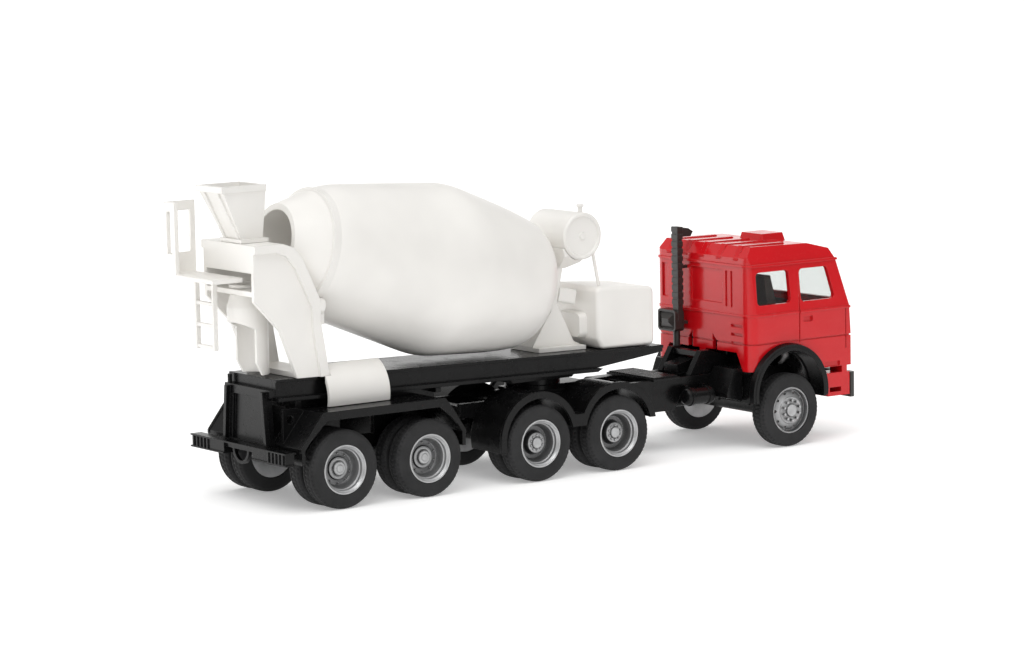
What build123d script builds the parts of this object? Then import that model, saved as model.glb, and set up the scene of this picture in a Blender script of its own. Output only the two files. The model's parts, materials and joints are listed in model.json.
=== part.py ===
"""Scale model, 1:87, of an articulated concrete mixer.

A three-axle tractor with a hollow moulded cab pulls a two-axle trailer that
carries the drum, its drive, the water tank, the hopper and the chutes.
All sizes are millimetres.  +X points forward, +Y to the left, +Z up, and the
origin lies on the ground below the middle of the overall length.
"""
import os

from build123d import *

os.makedirs("parts", exist_ok=True)

# ---------------------------------------------------------------- driving sizes
front_overhang = 15.6       # front axle to the foremost face of the bumper
wheelbase = 36.8            # front axle to the first drive axle
tandem_spread = 15.9        # between the two drive axles
trailer_axle_gap = 21.7     # second drive axle to the first trailer axle
trailer_spread = 16.0       # between the two trailer axles
rear_overhang = 17.0        # last axle to the rearmost edge of the platform
kingpin_offset = 7.2        # first drive axle to the kingpin
half_track = 14.1           # outer face of the tyres from the middle plane
tyre_radius = 6.25

overall_length = (
    front_overhang + wheelbase + tandem_spread
    + trailer_axle_gap + trailer_spread + rear_overhang
)
front_axle_x = overall_length / 2 - front_overhang
drive_axle_1_x = front_axle_x - wheelbase
drive_axle_2_x = drive_axle_1_x - tandem_spread
trailer_axle_1_x = drive_axle_2_x - trailer_axle_gap
trailer_axle_2_x = trailer_axle_1_x - trailer_spread
kingpin_x = drive_axle_1_x - kingpin_offset
axle_z = tyre_radius

running_clearance = 0.05    # radial, a rod or pin in its bearing
seat_clearance = 0.05       # between pieces that are pushed together
wheel_clearance = 0.4       # between a wheel and what stands beside it


def side_face(y):
    """Plane parallel to the side view at y; its normal points to the right."""
    return Plane.XZ.offset(-y)


def polygon(points, mode=Mode.ADD):
    """Closed outline through the points, as a face of the sketch in hand."""
    with BuildLine() as outline:
        Polyline(*points, close=True)
    make_face(outline.edges(), mode=mode)


# ---------------------------------------------------------------- wheels
rim_radius = 4.0
rod_radius = 0.6
front_tyre_width = 3.5
twin_tyre_width = 7.0
twin_groove = 0.8
rim_dish = 1.7              # depth of the dished rear rims
wheel_bolts = 10
hand_holes = 8


def tyre_outline(width, outer_face):
    """Half section of one tyre, as (distance from the middle plane, radius)."""
    inner_face = outer_face - width
    return [
        (inner_face, rim_radius),
        (inner_face, tyre_radius - 0.9),
        (inner_face + 0.45, tyre_radius - 0.2),
        (inner_face + 0.9, tyre_radius),
        (outer_face - 0.9, tyre_radius),
        (outer_face - 0.45, tyre_radius - 0.2),
        (outer_face, tyre_radius - 0.9),
        (outer_face - 0.25, rim_radius),
    ]


def axle_plane(x):
    """Plane through an axle: local x runs to the left, local y up."""
    return Plane(origin=(x, 0, axle_z), x_dir=(0, 1, 0), z_dir=(1, 0, 0))


def across_axle(x, y):
    """Plane square to an axle at y, facing outwards on the side of y."""
    outward = 1 if y > 0 else -1
    return Plane(origin=(x, y, axle_z), x_dir=(1, 0, 0), z_dir=(0, outward, 0))


def revolve_about_axle(x, outlines):
    """Turn outlines of (distance from the middle plane, radius) about an axle."""
    with BuildPart() as turned:
        for outline in outlines:
            with BuildSketch(axle_plane(x)):
                polygon(outline)
            revolve(axis=Axis((x, 0, axle_z), (0, 1, 0)))
        mirror(about=Plane.XZ)
    return turned


def front_wheels(x):
    """Tyres, rims and rod of the front axle, single tyres."""
    face = half_track
    inner = face - front_tyre_width
    tyres = revolve_about_axle(x, [tyre_outline(front_tyre_width, face)])
    blank = revolve_about_axle(x, [[
        (inner, rod_radius),
        (inner, rim_radius - seat_clearance),
        (face - 0.2, rim_radius - seat_clearance),
        (face - 0.2, rim_radius - 0.3),
        (face - 0.9, rim_radius - 0.5),
        (face - 0.9, rim_radius - 0.65),
        (face - 0.35, 2.35),
        (face - 0.2, 2.25),
        (face - 0.2, 1.15),
        (face + 0.15, 1.0),
        (face + 0.15, 0.0),
        (face - 1.0, 0.0),
        (face - 1.0, rod_radius),
    ]])
    with BuildPart() as rims:
        add(blank.part)
        for side in (1, -1):
            with Locations(across_axle(x, side * face)):
                with PolarLocations(3.05, wheel_bolts):
                    Cylinder(0.26, 1.8, mode=Mode.SUBTRACT)
                with PolarLocations(1.72, wheel_bolts, start_angle=18):
                    Cylinder(0.2, 0.7)
    rod = axle_rod(x, face - 1.0)
    return tyres, rims, rod


def twin_wheels(x):
    """Twin tyres moulded as one, dished rims and rod of a rear axle."""
    face = half_track
    inner = face - twin_tyre_width
    single = (twin_tyre_width - twin_groove) / 2
    core = [
        (inner + 0.6, rim_radius),
        (inner + 0.6, tyre_radius - 1.9),
        (face - 0.6, tyre_radius - 1.9),
        (face - 0.6, rim_radius),
    ]
    tyres = revolve_about_axle(x, [
        tyre_outline(single, face),
        tyre_outline(single, face - single - twin_groove),
        core,
    ])
    floor = face - rim_dish
    blank = revolve_about_axle(x, [[
        (inner, rod_radius),
        (inner, rim_radius - seat_clearance),
        (face - 0.1, rim_radius - seat_clearance),
        (face - 0.1, rim_radius - 0.4),
        (face - 0.5, rim_radius - 0.6),
        (face - 0.5, rim_radius - 0.8),
        (floor, 2.75),
        (floor + 0.2, 1.75),
        (floor + 0.75, 1.55),
        (floor + 0.75, 0.95),
        (floor + 1.3, 0.8),
        (floor + 1.3, 0.0),
        (floor - 0.8, 0.0),
        (floor - 0.8, rod_radius),
    ]])
    with BuildPart() as rims:
        add(blank.part)
        for side in (1, -1):
            with Locations(across_axle(x, side * floor)):
                with PolarLocations(2.3, hand_holes):
                    Cylinder(0.3, 1.0, mode=Mode.SUBTRACT)
            with Locations(across_axle(x, side * (floor + 0.75))):
                with PolarLocations(1.25, hand_holes, start_angle=22.5):
                    Cylinder(0.18, 0.6)
    rod = axle_rod(x, floor - 0.8)
    return tyres, rims, rod


def axle_rod(x, half_length):
    """Plain wire axle, pushed into both rims."""
    with BuildPart() as rod:
        with BuildSketch(across_axle(x, 0)):
            Circle(rod_radius)
        extrude(amount=half_length, both=True)
    return rod


front_tyres, front_rims, front_axle_rod = front_wheels(front_axle_x)
drive_1_tyres, drive_1_rims, drive_1_axle_rod = twin_wheels(drive_axle_1_x)
drive_2_tyres, drive_2_rims, drive_2_axle_rod = twin_wheels(drive_axle_2_x)
trailer_1_tyres, trailer_1_rims, trailer_1_axle_rod = twin_wheels(trailer_axle_1_x)
trailer_2_tyres, trailer_2_rims, trailer_2_axle_rod = twin_wheels(trailer_axle_2_x)

# ---------------------------------------------------------------- cab: outlines
cab_half_width = 12.8
cab_wall = 0.8
cab_rear_x = front_axle_x - 7.8
cab_front_x = front_axle_x + 14.5
cab_skirt_z = axle_z + 6.35     # lower edge ahead of the wheel
cab_rear_skirt_z = axle_z + 7.0
cab_back_edge_z = axle_z + 10.1
cab_crease_z = axle_z + 11.6
cab_belt_z = axle_z + 16.45
cab_drip_z = axle_z + 24.95
cab_ridge_z = axle_z + 26.2
cab_roof_z = axle_z + 28.05
arch_radius = tyre_radius + 1.35
arch_z = axle_z + 2.95
rear_corner_radius = 1.8
front_corner_radius = 3.2


def cab_side_outline(inset):
    """Corners of the cab seen from the side, moved in by the inset."""
    rear = cab_rear_x + inset
    front = cab_front_x - inset
    return [
        (rear, cab_skirt_z - 6),
        (rear, cab_ridge_z),
        (rear + 1.4, cab_roof_z - inset),
        (front - 8.5, cab_roof_z - 0.2 - inset),
        (front - 4.1, cab_roof_z - 1.3 - inset),
        (front - 3.1, cab_drip_z),
        (front - 0.3, cab_belt_z + 0.3),
        (front, cab_crease_z + 0.5),
        (front, cab_skirt_z - 6),
    ]


def cab_block(inset, low_z, high_z):
    """Solid cab between two heights, its faces moved in by the inset."""
    half = cab_half_width - inset
    with BuildPart() as block:
        with BuildSketch(Plane.XZ):
            polygon(cab_side_outline(inset))
        extrude(amount=half + 1, both=True)
        with BuildSketch(Plane.YZ):
            polygon([
                (-half, 0),
                (-half, cab_belt_z),
                (-half + 0.4, cab_drip_z),
                (-half + 1.5, cab_roof_z - inset),
                (half - 1.5, cab_roof_z - inset),
                (half - 0.4, cab_drip_z),
                (half, cab_belt_z),
                (half, 0),
            ])
        extrude(amount=overall_length, both=True, mode=Mode.INTERSECT)
        length = cab_front_x - cab_rear_x - 2 * inset
        with BuildSketch(Plane.XY.offset(low_z)) as plan:
            with Locations(((cab_front_x + cab_rear_x) / 2, 0)):
                Rectangle(length, 2 * half)
            corners = plan.vertices().group_by(Axis.X)
            fillet(corners[0], radius=max(rear_corner_radius - inset, 0.3))
            fillet(corners[-1], radius=max(front_corner_radius - inset, 0.3))
        extrude(amount=high_z - low_z, mode=Mode.INTERSECT)
    return block.part


def cab_band(low_z, high_z, outer_inset, inner_inset):
    """Ring between two insets: added it is a rail, cut it is a groove."""
    return cab_block(outer_inset, low_z, high_z) - cab_block(inner_inset, low_z - 1, high_z + 1)


def side_opening(corners, corner_radius):
    """Cut one outline, given from the front axle, through both cab sides."""
    with BuildSketch(Plane.XZ) as opening:
        polygon([(front_axle_x + x, z) for x, z in corners])
        fillet(opening.vertices(), radius=corner_radius)
    extrude(opening.sketch, amount=cab_half_width + 2, both=True, mode=Mode.SUBTRACT)


def side_recess(x_low, x_high, low_z, high_z, depth):
    """Shallow rectangular recess, from the front axle, in both cab sides."""
    middle_x = front_axle_x + (x_low + x_high) / 2
    for y in (cab_half_width, -cab_half_width):
        with Locations((middle_x, y, (low_z + high_z) / 2)):
            Box(x_high - x_low, 2 * depth, high_z - low_z, mode=Mode.SUBTRACT)


def rear_recess(y_low, y_high, low_z, high_z, depth):
    """Shallow rectangular recess in the cab's rear wall."""
    with Locations((cab_rear_x, (y_low + y_high) / 2, (low_z + high_z) / 2)):
        Box(2 * depth, y_high - y_low, high_z - low_z, mode=Mode.SUBTRACT)

# ---------------------------------------------------------------- cab shell
window_sill_z = cab_belt_z + 1.7
window_top_z = cab_drip_z - 1.2
roof_rib_y = (-9.0, -4.5, 0.0, 4.5, 9.0)
louvre_pitch = 1.5
corner_box_width = 3.2
grille_bars = 5
grille_half_width = 8.0
grille_low_z = cab_skirt_z + 4.2
grille_high_z = cab_belt_z - 1.4

with BuildPart() as cab_shell:
    add(cab_block(0.0, cab_skirt_z, cab_roof_z + 1))
    add(cab_block(cab_wall, cab_skirt_z - 1, cab_roof_z + 1), mode=Mode.SUBTRACT)
    add(cab_band(cab_drip_z - 0.25, cab_drip_z + 0.15, -0.25, 0.4))
    add(cab_band(cab_belt_z - 0.2, cab_belt_z + 0.2, -0.15, 0.4))
    add(cab_band(cab_crease_z - 0.12, cab_crease_z + 0.12, -0.5, 0.2), mode=Mode.SUBTRACT)
    # two side windows and the windscreen
    side_opening([
        (-6.3, window_top_z),
        (0.9, window_top_z),
        (1.3, window_sill_z),
        (-6.1, window_sill_z),
    ], 0.7)
    side_opening([
        (3.2, window_top_z),
        (9.4, window_top_z),
        (11.1, window_sill_z),
        (3.5, window_sill_z),
    ], 0.7)
    with BuildSketch(Plane.YZ.offset(cab_front_x - 8.5)):
        with Locations((0, (window_sill_z + window_top_z) / 2)):
            RectangleRounded(2 * cab_half_width - 5.2, window_top_z - window_sill_z + 0.4, 1.0)
    extrude(amount=12, mode=Mode.SUBTRACT)
    # door gaps, handle pocket and the step pocket low down
    side_recess(2.95, 3.2, cab_crease_z - 0.4, window_top_z + 0.5, 0.25)
    side_recess(13.3, 13.5, cab_skirt_z + 3.0, cab_belt_z - 0.2, 0.25)
    side_recess(4.0, 6.0, cab_belt_z - 1.8, cab_belt_z - 0.9, 0.35)
    side_recess(8.6, 12.0, cab_skirt_z + 0.1, cab_skirt_z + 0.9, 0.3)
    # rear wall: wide panel, narrow panel, two upright grooves, louvres
    rear_recess(-5.5, 3.0, window_sill_z + 0.1, window_top_z + 0.2, 0.3)
    rear_recess(9.3, 10.9, window_sill_z, window_top_z + 0.2, 0.3)
    rear_recess(-6.8, -6.3, window_sill_z - 0.4, window_top_z + 0.1, 0.3)
    rear_recess(-8.2, -7.7, window_sill_z - 0.4, window_top_z + 0.1, 0.3)
    for i in range(3):
        low_z = cab_crease_z - 0.2 + i * louvre_pitch
        rear_recess(-10.7, -7.7, low_z, low_z + 0.5, 0.35)
    # ribs over the roof and down the rear slope
    for y in roof_rib_y:
        with BuildSketch(side_face(y)):
            polygon([
                (cab_rear_x + 0.1, cab_ridge_z - 0.6),
                (cab_rear_x - 0.15, cab_ridge_z - 0.3),
                (cab_rear_x + 1.25, cab_roof_z + 0.15),
                (cab_rear_x + 10.0, cab_roof_z + 0.1),
                (cab_rear_x + 10.6, cab_roof_z - 0.4),
                (cab_rear_x + 1.7, cab_roof_z - 0.4),
            ])
        extrude(amount=0.6, both=True)
    # roof hatch
    with BuildSketch(Plane.XY.offset(cab_roof_z - 0.5)):
        with Locations((front_axle_x + 5.6, 0)):
            RectangleRounded(5.6, 6.4, 0.6)
    extrude(amount=1.4, taper=18)
    # grille panel with its bars and a blank round boss
    with BuildSketch(Plane.YZ.offset(cab_front_x - 0.35)):
        with Locations((0, (grille_low_z + grille_high_z) / 2)):
            Rectangle(2 * grille_half_width, grille_high_z - grille_low_z)
    extrude(amount=1.0, mode=Mode.SUBTRACT)
    bar_pitch = (grille_high_z - grille_low_z) / (grille_bars + 1)
    with BuildSketch(Plane.YZ.offset(cab_front_x - 0.4)):
        for i in range(grille_bars):
            with Locations((0, grille_low_z + (i + 1) * bar_pitch)):
                Rectangle(2 * grille_half_width, bar_pitch * 0.45)
        with Locations((0, (grille_low_z + grille_high_z) / 2)):
            Circle(0.9)
    extrude(amount=0.35)
    # wheel arches, the raised edge behind them and the cut-away back
    with BuildSketch(Plane.XZ):
        with Locations((front_axle_x + 0.2, arch_z)):
            Circle(arch_radius + 0.3)
    extrude(amount=cab_half_width + 2, both=True, mode=Mode.SUBTRACT)
    with Locations((cab_rear_x, 0, cab_rear_skirt_z - 3)):
        Box(12, 3 * cab_half_width, 6, mode=Mode.SUBTRACT)
    with BuildSketch(Plane.YZ.offset(cab_rear_x - 1)):
        polygon([
            (-11.3, cab_rear_skirt_z - 1),
            (-9.1, cab_back_edge_z),
            (-3.9, cab_back_edge_z),
            (-3.9, cab_back_edge_z + 1.5),
            (-2.7, cab_back_edge_z + 2.8),
            (-2.7, cab_back_edge_z),
            (-0.8, cab_back_edge_z),
            (-0.8, cab_rear_skirt_z + 0.8),
            (0.8, cab_rear_skirt_z + 0.8),
            (0.8, cab_back_edge_z),
            (2.7, cab_back_edge_z),
            (2.7, cab_back_edge_z + 2.8),
            (3.9, cab_back_edge_z + 1.5),
            (3.9, cab_back_edge_z),
            (9.1, cab_back_edge_z),
            (11.3, cab_rear_skirt_z - 1),
        ])
    extrude(amount=4, mode=Mode.SUBTRACT)
    # corner boxes below the front, with the open step between their bars
    for y in (corner_box_width - cab_half_width, cab_half_width):
        with BuildSketch(side_face(y)):
            polygon([
                (cab_front_x - 0.9, cab_skirt_z + 0.2),
                (cab_front_x - 2.0, cab_skirt_z + 0.2),
                (cab_front_x - 2.0, cab_skirt_z - 1.1),
                (front_axle_x + 8.9, cab_skirt_z - 1.1),
                (front_axle_x + 9.3, cab_skirt_z - 5.1),
                (cab_front_x - 0.3, cab_skirt_z - 5.1),
                (cab_front_x - 0.3, cab_skirt_z - 1.1),
                (cab_front_x - 0.9, cab_skirt_z - 1.1),
            ])
            with Locations((front_axle_x + 11.0, cab_skirt_z - 4.0)):
                Rectangle(2.6, 0.8, mode=Mode.SUBTRACT)
        extrude(amount=corner_box_width)

glazing_gap = 0.05
glass_thickness = 0.6
glass_inset = cab_wall + glazing_gap

with BuildPart() as cab_glazing:
    add(cab_block(glass_inset, window_sill_z - 0.8, window_top_z + 0.8))
    add(
        cab_block(glass_inset + glass_thickness, window_sill_z - 2, window_top_z + 2),
        mode=Mode.SUBTRACT,
    )
    # the pane runs from the rear side windows round the front
    with Locations((cab_rear_x, 0, window_top_z)):
        Box(2 * (rear_corner_radius + 0.2), 3 * cab_half_width, 30, mode=Mode.SUBTRACT)

# ---------------------------------------------------------------- cab interior
floor_z = axle_z + 12.95
seat_side = 5.7             # middle of each seat from the middle plane
seat_half_width = 2.6
interior_half_width = cab_half_width - glass_inset - glass_thickness - 0.6

with BuildPart() as cab_interior:
    with BuildSketch(Plane.XZ):
        polygon([
            (front_axle_x - 6.2, floor_z),
            (front_axle_x + 10.6, floor_z),
            (front_axle_x + 10.6, floor_z + 4.0),
            (front_axle_x + 9.0, floor_z + 4.3),
            (front_axle_x + 8.6, floor_z + 0.9),
            (front_axle_x - 5.4, floor_z + 0.9),
            (front_axle_x - 5.4, cab_drip_z - 1.6),
            (front_axle_x - 6.2, cab_drip_z - 1.6),
        ])
    extrude(amount=interior_half_width, both=True)
    for y in (seat_side, -seat_side):
        with BuildSketch(side_face(y)) as seat:
            polygon([
                (front_axle_x - 3.4, floor_z + 0.8),
                (front_axle_x + 2.2, floor_z + 0.8),
                (front_axle_x + 3.0, floor_z + 3.4),
                (front_axle_x - 1.6, floor_z + 2.9),
                (front_axle_x - 3.4, floor_z + 9.6),
                (front_axle_x - 4.7, floor_z + 9.4),
                (front_axle_x - 3.9, floor_z + 2.6),
            ])
            fillet(seat.vertices().sort_by(Axis.Z)[-2:], radius=0.5)
        extrude(amount=seat_half_width, both=True)
    # instrument hood before the driver, on the left
    with Locations((front_axle_x + 9.2, seat_side, floor_z + 4.6)):
        Box(1.6, 4.2, 1.2)

steering_plane = Plane(
    origin=(front_axle_x + 6.6, seat_side, floor_z + 5.6),
    x_dir=(0, 1, 0),
    z_dir=(-1, 0, 1.4),
)
steering_radius = 2.2
column_reach = 2.2
with BuildPart() as steering_wheel:
    with BuildSketch(steering_plane):
        Circle(steering_radius)
        Circle(steering_radius - 0.45, mode=Mode.SUBTRACT)
        Rectangle(2 * steering_radius - 0.6, 0.5)
        Circle(0.5)
    extrude(amount=0.45)
    with BuildSketch(steering_plane):
        Circle(0.35)
    extrude(amount=-column_reach)

# ---------------------------------------------------------------- air intake
snorkel_y = 4.3
snorkel_x = cab_rear_x - 1.9
filter_y = 6.0
filter_z = axle_z + 14.55
band_pitch = 1.25
band_count = 11
with BuildPart() as air_snorkel:
    with BuildSketch(side_face(snorkel_y)):
        polygon([
            (snorkel_x - 0.5, filter_z),
            (snorkel_x + 0.5, filter_z),
            (snorkel_x + 0.5, cab_roof_z + 0.9),
            (snorkel_x + 2.4, cab_roof_z + 0.9),
            (snorkel_x + 2.9, cab_roof_z + 1.7),
            (snorkel_x + 1.9, cab_roof_z + 2.3),
            (snorkel_x - 0.5, cab_roof_z + 2.7),
        ])
    extrude(amount=0.75, both=True)
    # bands round the pipe
    for i in range(band_count):
        with Locations((snorkel_x, snorkel_y, filter_z + 3.2 + i * band_pitch)):
            Box(1.2, 1.7, band_pitch - 0.4)
    # pressed filter box with a hipped cover behind it
    with BuildSketch(Plane.YZ.offset(snorkel_x + 0.75)):
        with Locations((filter_y, filter_z)):
            RectangleRounded(4.8, 3.7, 0.6)
    extrude(amount=-1.6)
    with BuildSketch(Plane.YZ.offset(snorkel_x - 0.85)) as cover_rim:
        with Locations((filter_y, filter_z)):
            RectangleRounded(4.8, 3.7, 0.6)
            RectangleRounded(4.1, 3.0, 0.4, mode=Mode.SUBTRACT)
    extrude(cover_rim.sketch, amount=-0.3)
    with BuildSketch(Plane.YZ.offset(snorkel_x - 0.85)):
        with Locations((filter_y, filter_z)):
            Rectangle(3.8, 2.7)
    extrude(amount=-0.6, taper=60)
    # hose down to the engine
    with BuildSketch(Plane.XY.offset(axle_z + 10.2)):
        with Locations((snorkel_x, snorkel_y + 0.4)):
            Circle(0.6)
    extrude(amount=filter_z - axle_z - 10.2)
    # two bands that hold the pipe to the rear wall
    band_end_x = cab_rear_x - seat_clearance
    for z in (filter_z - 0.4, cab_drip_z - 1.2):
        with Locations(((snorkel_x + 0.4 + band_end_x) / 2, snorkel_y, z)):
            Box(band_end_x - snorkel_x - 0.4, 0.8, 0.5)

# ---------------------------------------------------------------- tractor frame
frame_top_z = axle_z + 6.35
frame_bottom_z = axle_z + 3.35
frame_half_width = 5.0
frame_wall = 0.9
frame_front_x = front_axle_x + 12.0
frame_rear_x = drive_axle_2_x - 9.4
casing_radius = 1.5
casing_half = half_track - twin_tyre_width - wheel_clearance
front_casing_half = half_track - front_tyre_width - wheel_clearance
hanger_width = 3.4


def bearing_block(x, half_length, radius):
    """Axle casing along the axle at x, still without its bore."""
    with BuildSketch(across_axle(x, 0)) as casing:
        Circle(radius)
    extrude(casing.sketch, amount=half_length, both=True)


def bearing_bore(x, half_length):
    """Running bore of one axle."""
    with BuildSketch(across_axle(x, 0)) as bore:
        Circle(rod_radius + running_clearance)
    extrude(bore.sketch, amount=half_length + 1, both=True, mode=Mode.SUBTRACT)


tractor_axles = (
    (front_axle_x, front_casing_half),
    (drive_axle_1_x, casing_half),
    (drive_axle_2_x, casing_half),
)
cross_member_x = (
    frame_front_x - 1.0,
    front_axle_x - 6.5,
    drive_axle_1_x + 12.4,
    drive_axle_1_x + 6.4,
    drive_axle_1_x - 0.5,
    drive_axle_2_x - 0.5,
    frame_rear_x + 0.8,
)

with BuildPart() as tractor_frame:
    for y in (frame_half_width - frame_wall / 2, frame_wall / 2 - frame_half_width):
        with BuildSketch(side_face(y)):
            polygon([
                (frame_rear_x, frame_bottom_z + 1.0),
                (frame_rear_x, frame_top_z),
                (frame_front_x, frame_top_z),
                (frame_front_x, frame_bottom_z + 0.6),
                (front_axle_x - 16.5, frame_bottom_z + 0.4),
                (front_axle_x - 18.0, axle_z + 0.9),
                (drive_axle_1_x + 11.0, axle_z + 0.9),
                (drive_axle_1_x + 9.0, frame_bottom_z),
                (drive_axle_2_x - 5.0, frame_bottom_z),
            ])
        extrude(amount=frame_wall / 2, both=True)
    for x in cross_member_x:
        with Locations((x, 0, frame_top_z - 1.4)):
            Box(1.6, 2 * frame_half_width - frame_wall, 2.0)
    for x, half in tractor_axles:
        bearing_block(x, half, casing_radius)
        for y in (frame_half_width - frame_wall, frame_wall - frame_half_width):
            with Locations((x, y, (axle_z + frame_bottom_z + 0.5) / 2)):
                Box(hanger_width, 1.4, frame_bottom_z + 0.5 - axle_z)
    # axle heads on the two driven axles
    for x in (drive_axle_1_x, drive_axle_2_x):
        with BuildSketch(across_axle(x, 0)):
            Circle(2.6)
        extrude(amount=1.6, both=True)
    # drive shaft between the gearbox and the first head
    with BuildSketch(Plane.YZ.offset(drive_axle_2_x + 1.0)):
        with Locations((0, axle_z + 1.2)):
            Circle(0.7)
    extrude(amount=front_axle_x - 9.0 - drive_axle_2_x - 1.0)
    # leaf springs beside the tandem, seated on the casings
    for y in (frame_half_width - 0.5, 0.5 - frame_half_width):
        for x in (drive_axle_1_x, drive_axle_2_x):
            with Locations((x, y, axle_z + 1.7)):
                Box(9.0, 1.0, 0.7)
    for x, half in tractor_axles:
        bearing_bore(x, half)

engine_x = front_axle_x + 0.4
with BuildPart() as engine_block:
    # engine under the cab floor
    with BuildSketch(Plane.XY.offset(frame_top_z + seat_clearance)):
        with Locations((engine_x, 0)):
            RectangleRounded(12.0, 7.0, 0.8)
    extrude(amount=floor_z - frame_top_z - 2 * seat_clearance)
    # gearbox hump and the two cab rests behind it
    with BuildSketch(side_face(0)):
        polygon([
            (engine_x - 5.5, frame_top_z + seat_clearance),
            (engine_x - 5.5, frame_top_z + 3.9),
            (engine_x - 10.0, frame_top_z + 2.8),
            (engine_x - 15.2, frame_top_z + 1.6),
            (engine_x - 15.2, frame_top_z + seat_clearance),
        ])
    extrude(amount=1.7, both=True)
    # slot for the tongue of the cab's rear wall
    with Locations((cab_rear_x + cab_wall / 2, 0, cab_back_edge_z)):
        Box(cab_wall + 0.2, 1.8, 2 * (cab_back_edge_z - cab_rear_skirt_z - 0.7), mode=Mode.SUBTRACT)
    for y in (3.9, -3.9):
        with BuildSketch(side_face(y)):
            polygon([
                (engine_x - 14.6, frame_top_z + seat_clearance),
                (engine_x - 12.2, cab_back_edge_z + 0.2),
                (engine_x - 10.4, cab_back_edge_z + 0.2),
                (engine_x - 5.0, frame_top_z + 2.0),
                (engine_x - 5.0, frame_top_z + seat_clearance),
            ])
        extrude(amount=0.6, both=True)
    with Locations((engine_x - 11.3, 0, cab_back_edge_z - 0.5)):
        Box(1.2, 7.8, 0.9)

catwalk_rib_pitch = 0.62
catwalk_front_x = front_axle_x - 18.0
catwalk_length = 5.6
catwalk_half_width = 6.5
with BuildPart() as catwalk:
    with Locations((catwalk_front_x - catwalk_length / 2, 0, frame_top_z + 0.2)):
        Box(catwalk_length, 2 * catwalk_half_width, 0.4)
    with BuildSketch(Plane.XY.offset(frame_top_z + 0.4)):
        with GridLocations(0, catwalk_rib_pitch, 1, 20):
            with Locations((catwalk_front_x - catwalk_length / 2, 0)):
                Rectangle(catwalk_length - 0.4, catwalk_rib_pitch / 2)
    extrude(amount=0.25)

# ---------------------------------------------------------------- tanks and steps
air_tank_radius = 1.45
air_tank_length = 6.0
air_tank_x = front_axle_x - 14.5
fuel_tank_x = front_axle_x - 19.5
with BuildPart() as side_tanks:
    # air tank with domed ends and its two straps, on the right
    air_tank_y = -frame_half_width - air_tank_radius - 0.5
    with BuildSketch(side_face(air_tank_y)) as tank_half:
        with BuildLine():
            Polyline(
                (air_tank_x - air_tank_length / 2, axle_z + 3.2),
                (air_tank_x + air_tank_length / 2, axle_z + 3.2),
                (air_tank_x + air_tank_length / 2, axle_z + 3.8),
            )
            ThreePointArc(
                (air_tank_x + air_tank_length / 2, axle_z + 3.8),
                (air_tank_x + air_tank_length / 2 - 0.15, axle_z + 4.4),
                (air_tank_x + air_tank_length / 2 - 0.6, axle_z + 3.2 + air_tank_radius),
            )
            Polyline(
                (air_tank_x + air_tank_length / 2 - 0.6, axle_z + 3.2 + air_tank_radius),
                (air_tank_x - air_tank_length / 2 + 0.6, axle_z + 3.2 + air_tank_radius),
            )
            ThreePointArc(
                (air_tank_x - air_tank_length / 2 + 0.6, axle_z + 3.2 + air_tank_radius),
                (air_tank_x - air_tank_length / 2 + 0.15, axle_z + 4.4),
                (air_tank_x - air_tank_length / 2, axle_z + 3.8),
            )
            Line(
                (air_tank_x - air_tank_length / 2, axle_z + 3.8),
                (air_tank_x - air_tank_length / 2, axle_z + 3.2),
            )
        make_face()
    revolve(axis=Axis((air_tank_x, air_tank_y, axle_z + 3.2), (1, 0, 0)))
    for x in (air_tank_x - 1.8, air_tank_x + 1.8):
        with BuildSketch(Plane.YZ.offset(x - 0.3)):
            with Locations((air_tank_y, axle_z + 3.2)):
                Circle(air_tank_radius + 0.15)
            with Locations((-frame_half_width - 0.6, axle_z + 4.2)):
                Rectangle(1.2 - 2 * seat_clearance, 1.6)
        extrude(amount=0.6)
    # fuel tank with rounded edges, on the left
    with BuildSketch(Plane.YZ.offset(fuel_tank_x - 5.5)):
        with Locations((frame_half_width + seat_clearance + 3.2, axle_z + 3.0)):
            RectangleRounded(6.4, 5.4, 1.3)
    extrude(amount=11.0)
    with BuildSketch(Plane.XY.offset(axle_z + 5.6)):
        with Locations((fuel_tank_x + 3.4, frame_half_width + 3.6)):
            Circle(0.8)
    extrude(amount=0.7)

with BuildPart() as side_steps:
    # inner skirt behind each front wheel, from the frame out to the mudguard
    with BuildSketch(side_face(-frame_half_width - seat_clearance)):
        polygon([
            (front_axle_x - arch_radius - 0.3, axle_z + 2.0),
            (front_axle_x - arch_radius - 0.3, cab_rear_skirt_z + 0.6),
            (front_axle_x - 9.6, cab_rear_skirt_z + 0.6),
            (front_axle_x - 11.2, axle_z + 3.6),
            (front_axle_x - 11.2, axle_z + 2.8),
        ])
    extrude(amount=5.6)
    mirror(about=Plane.XZ)

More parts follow.
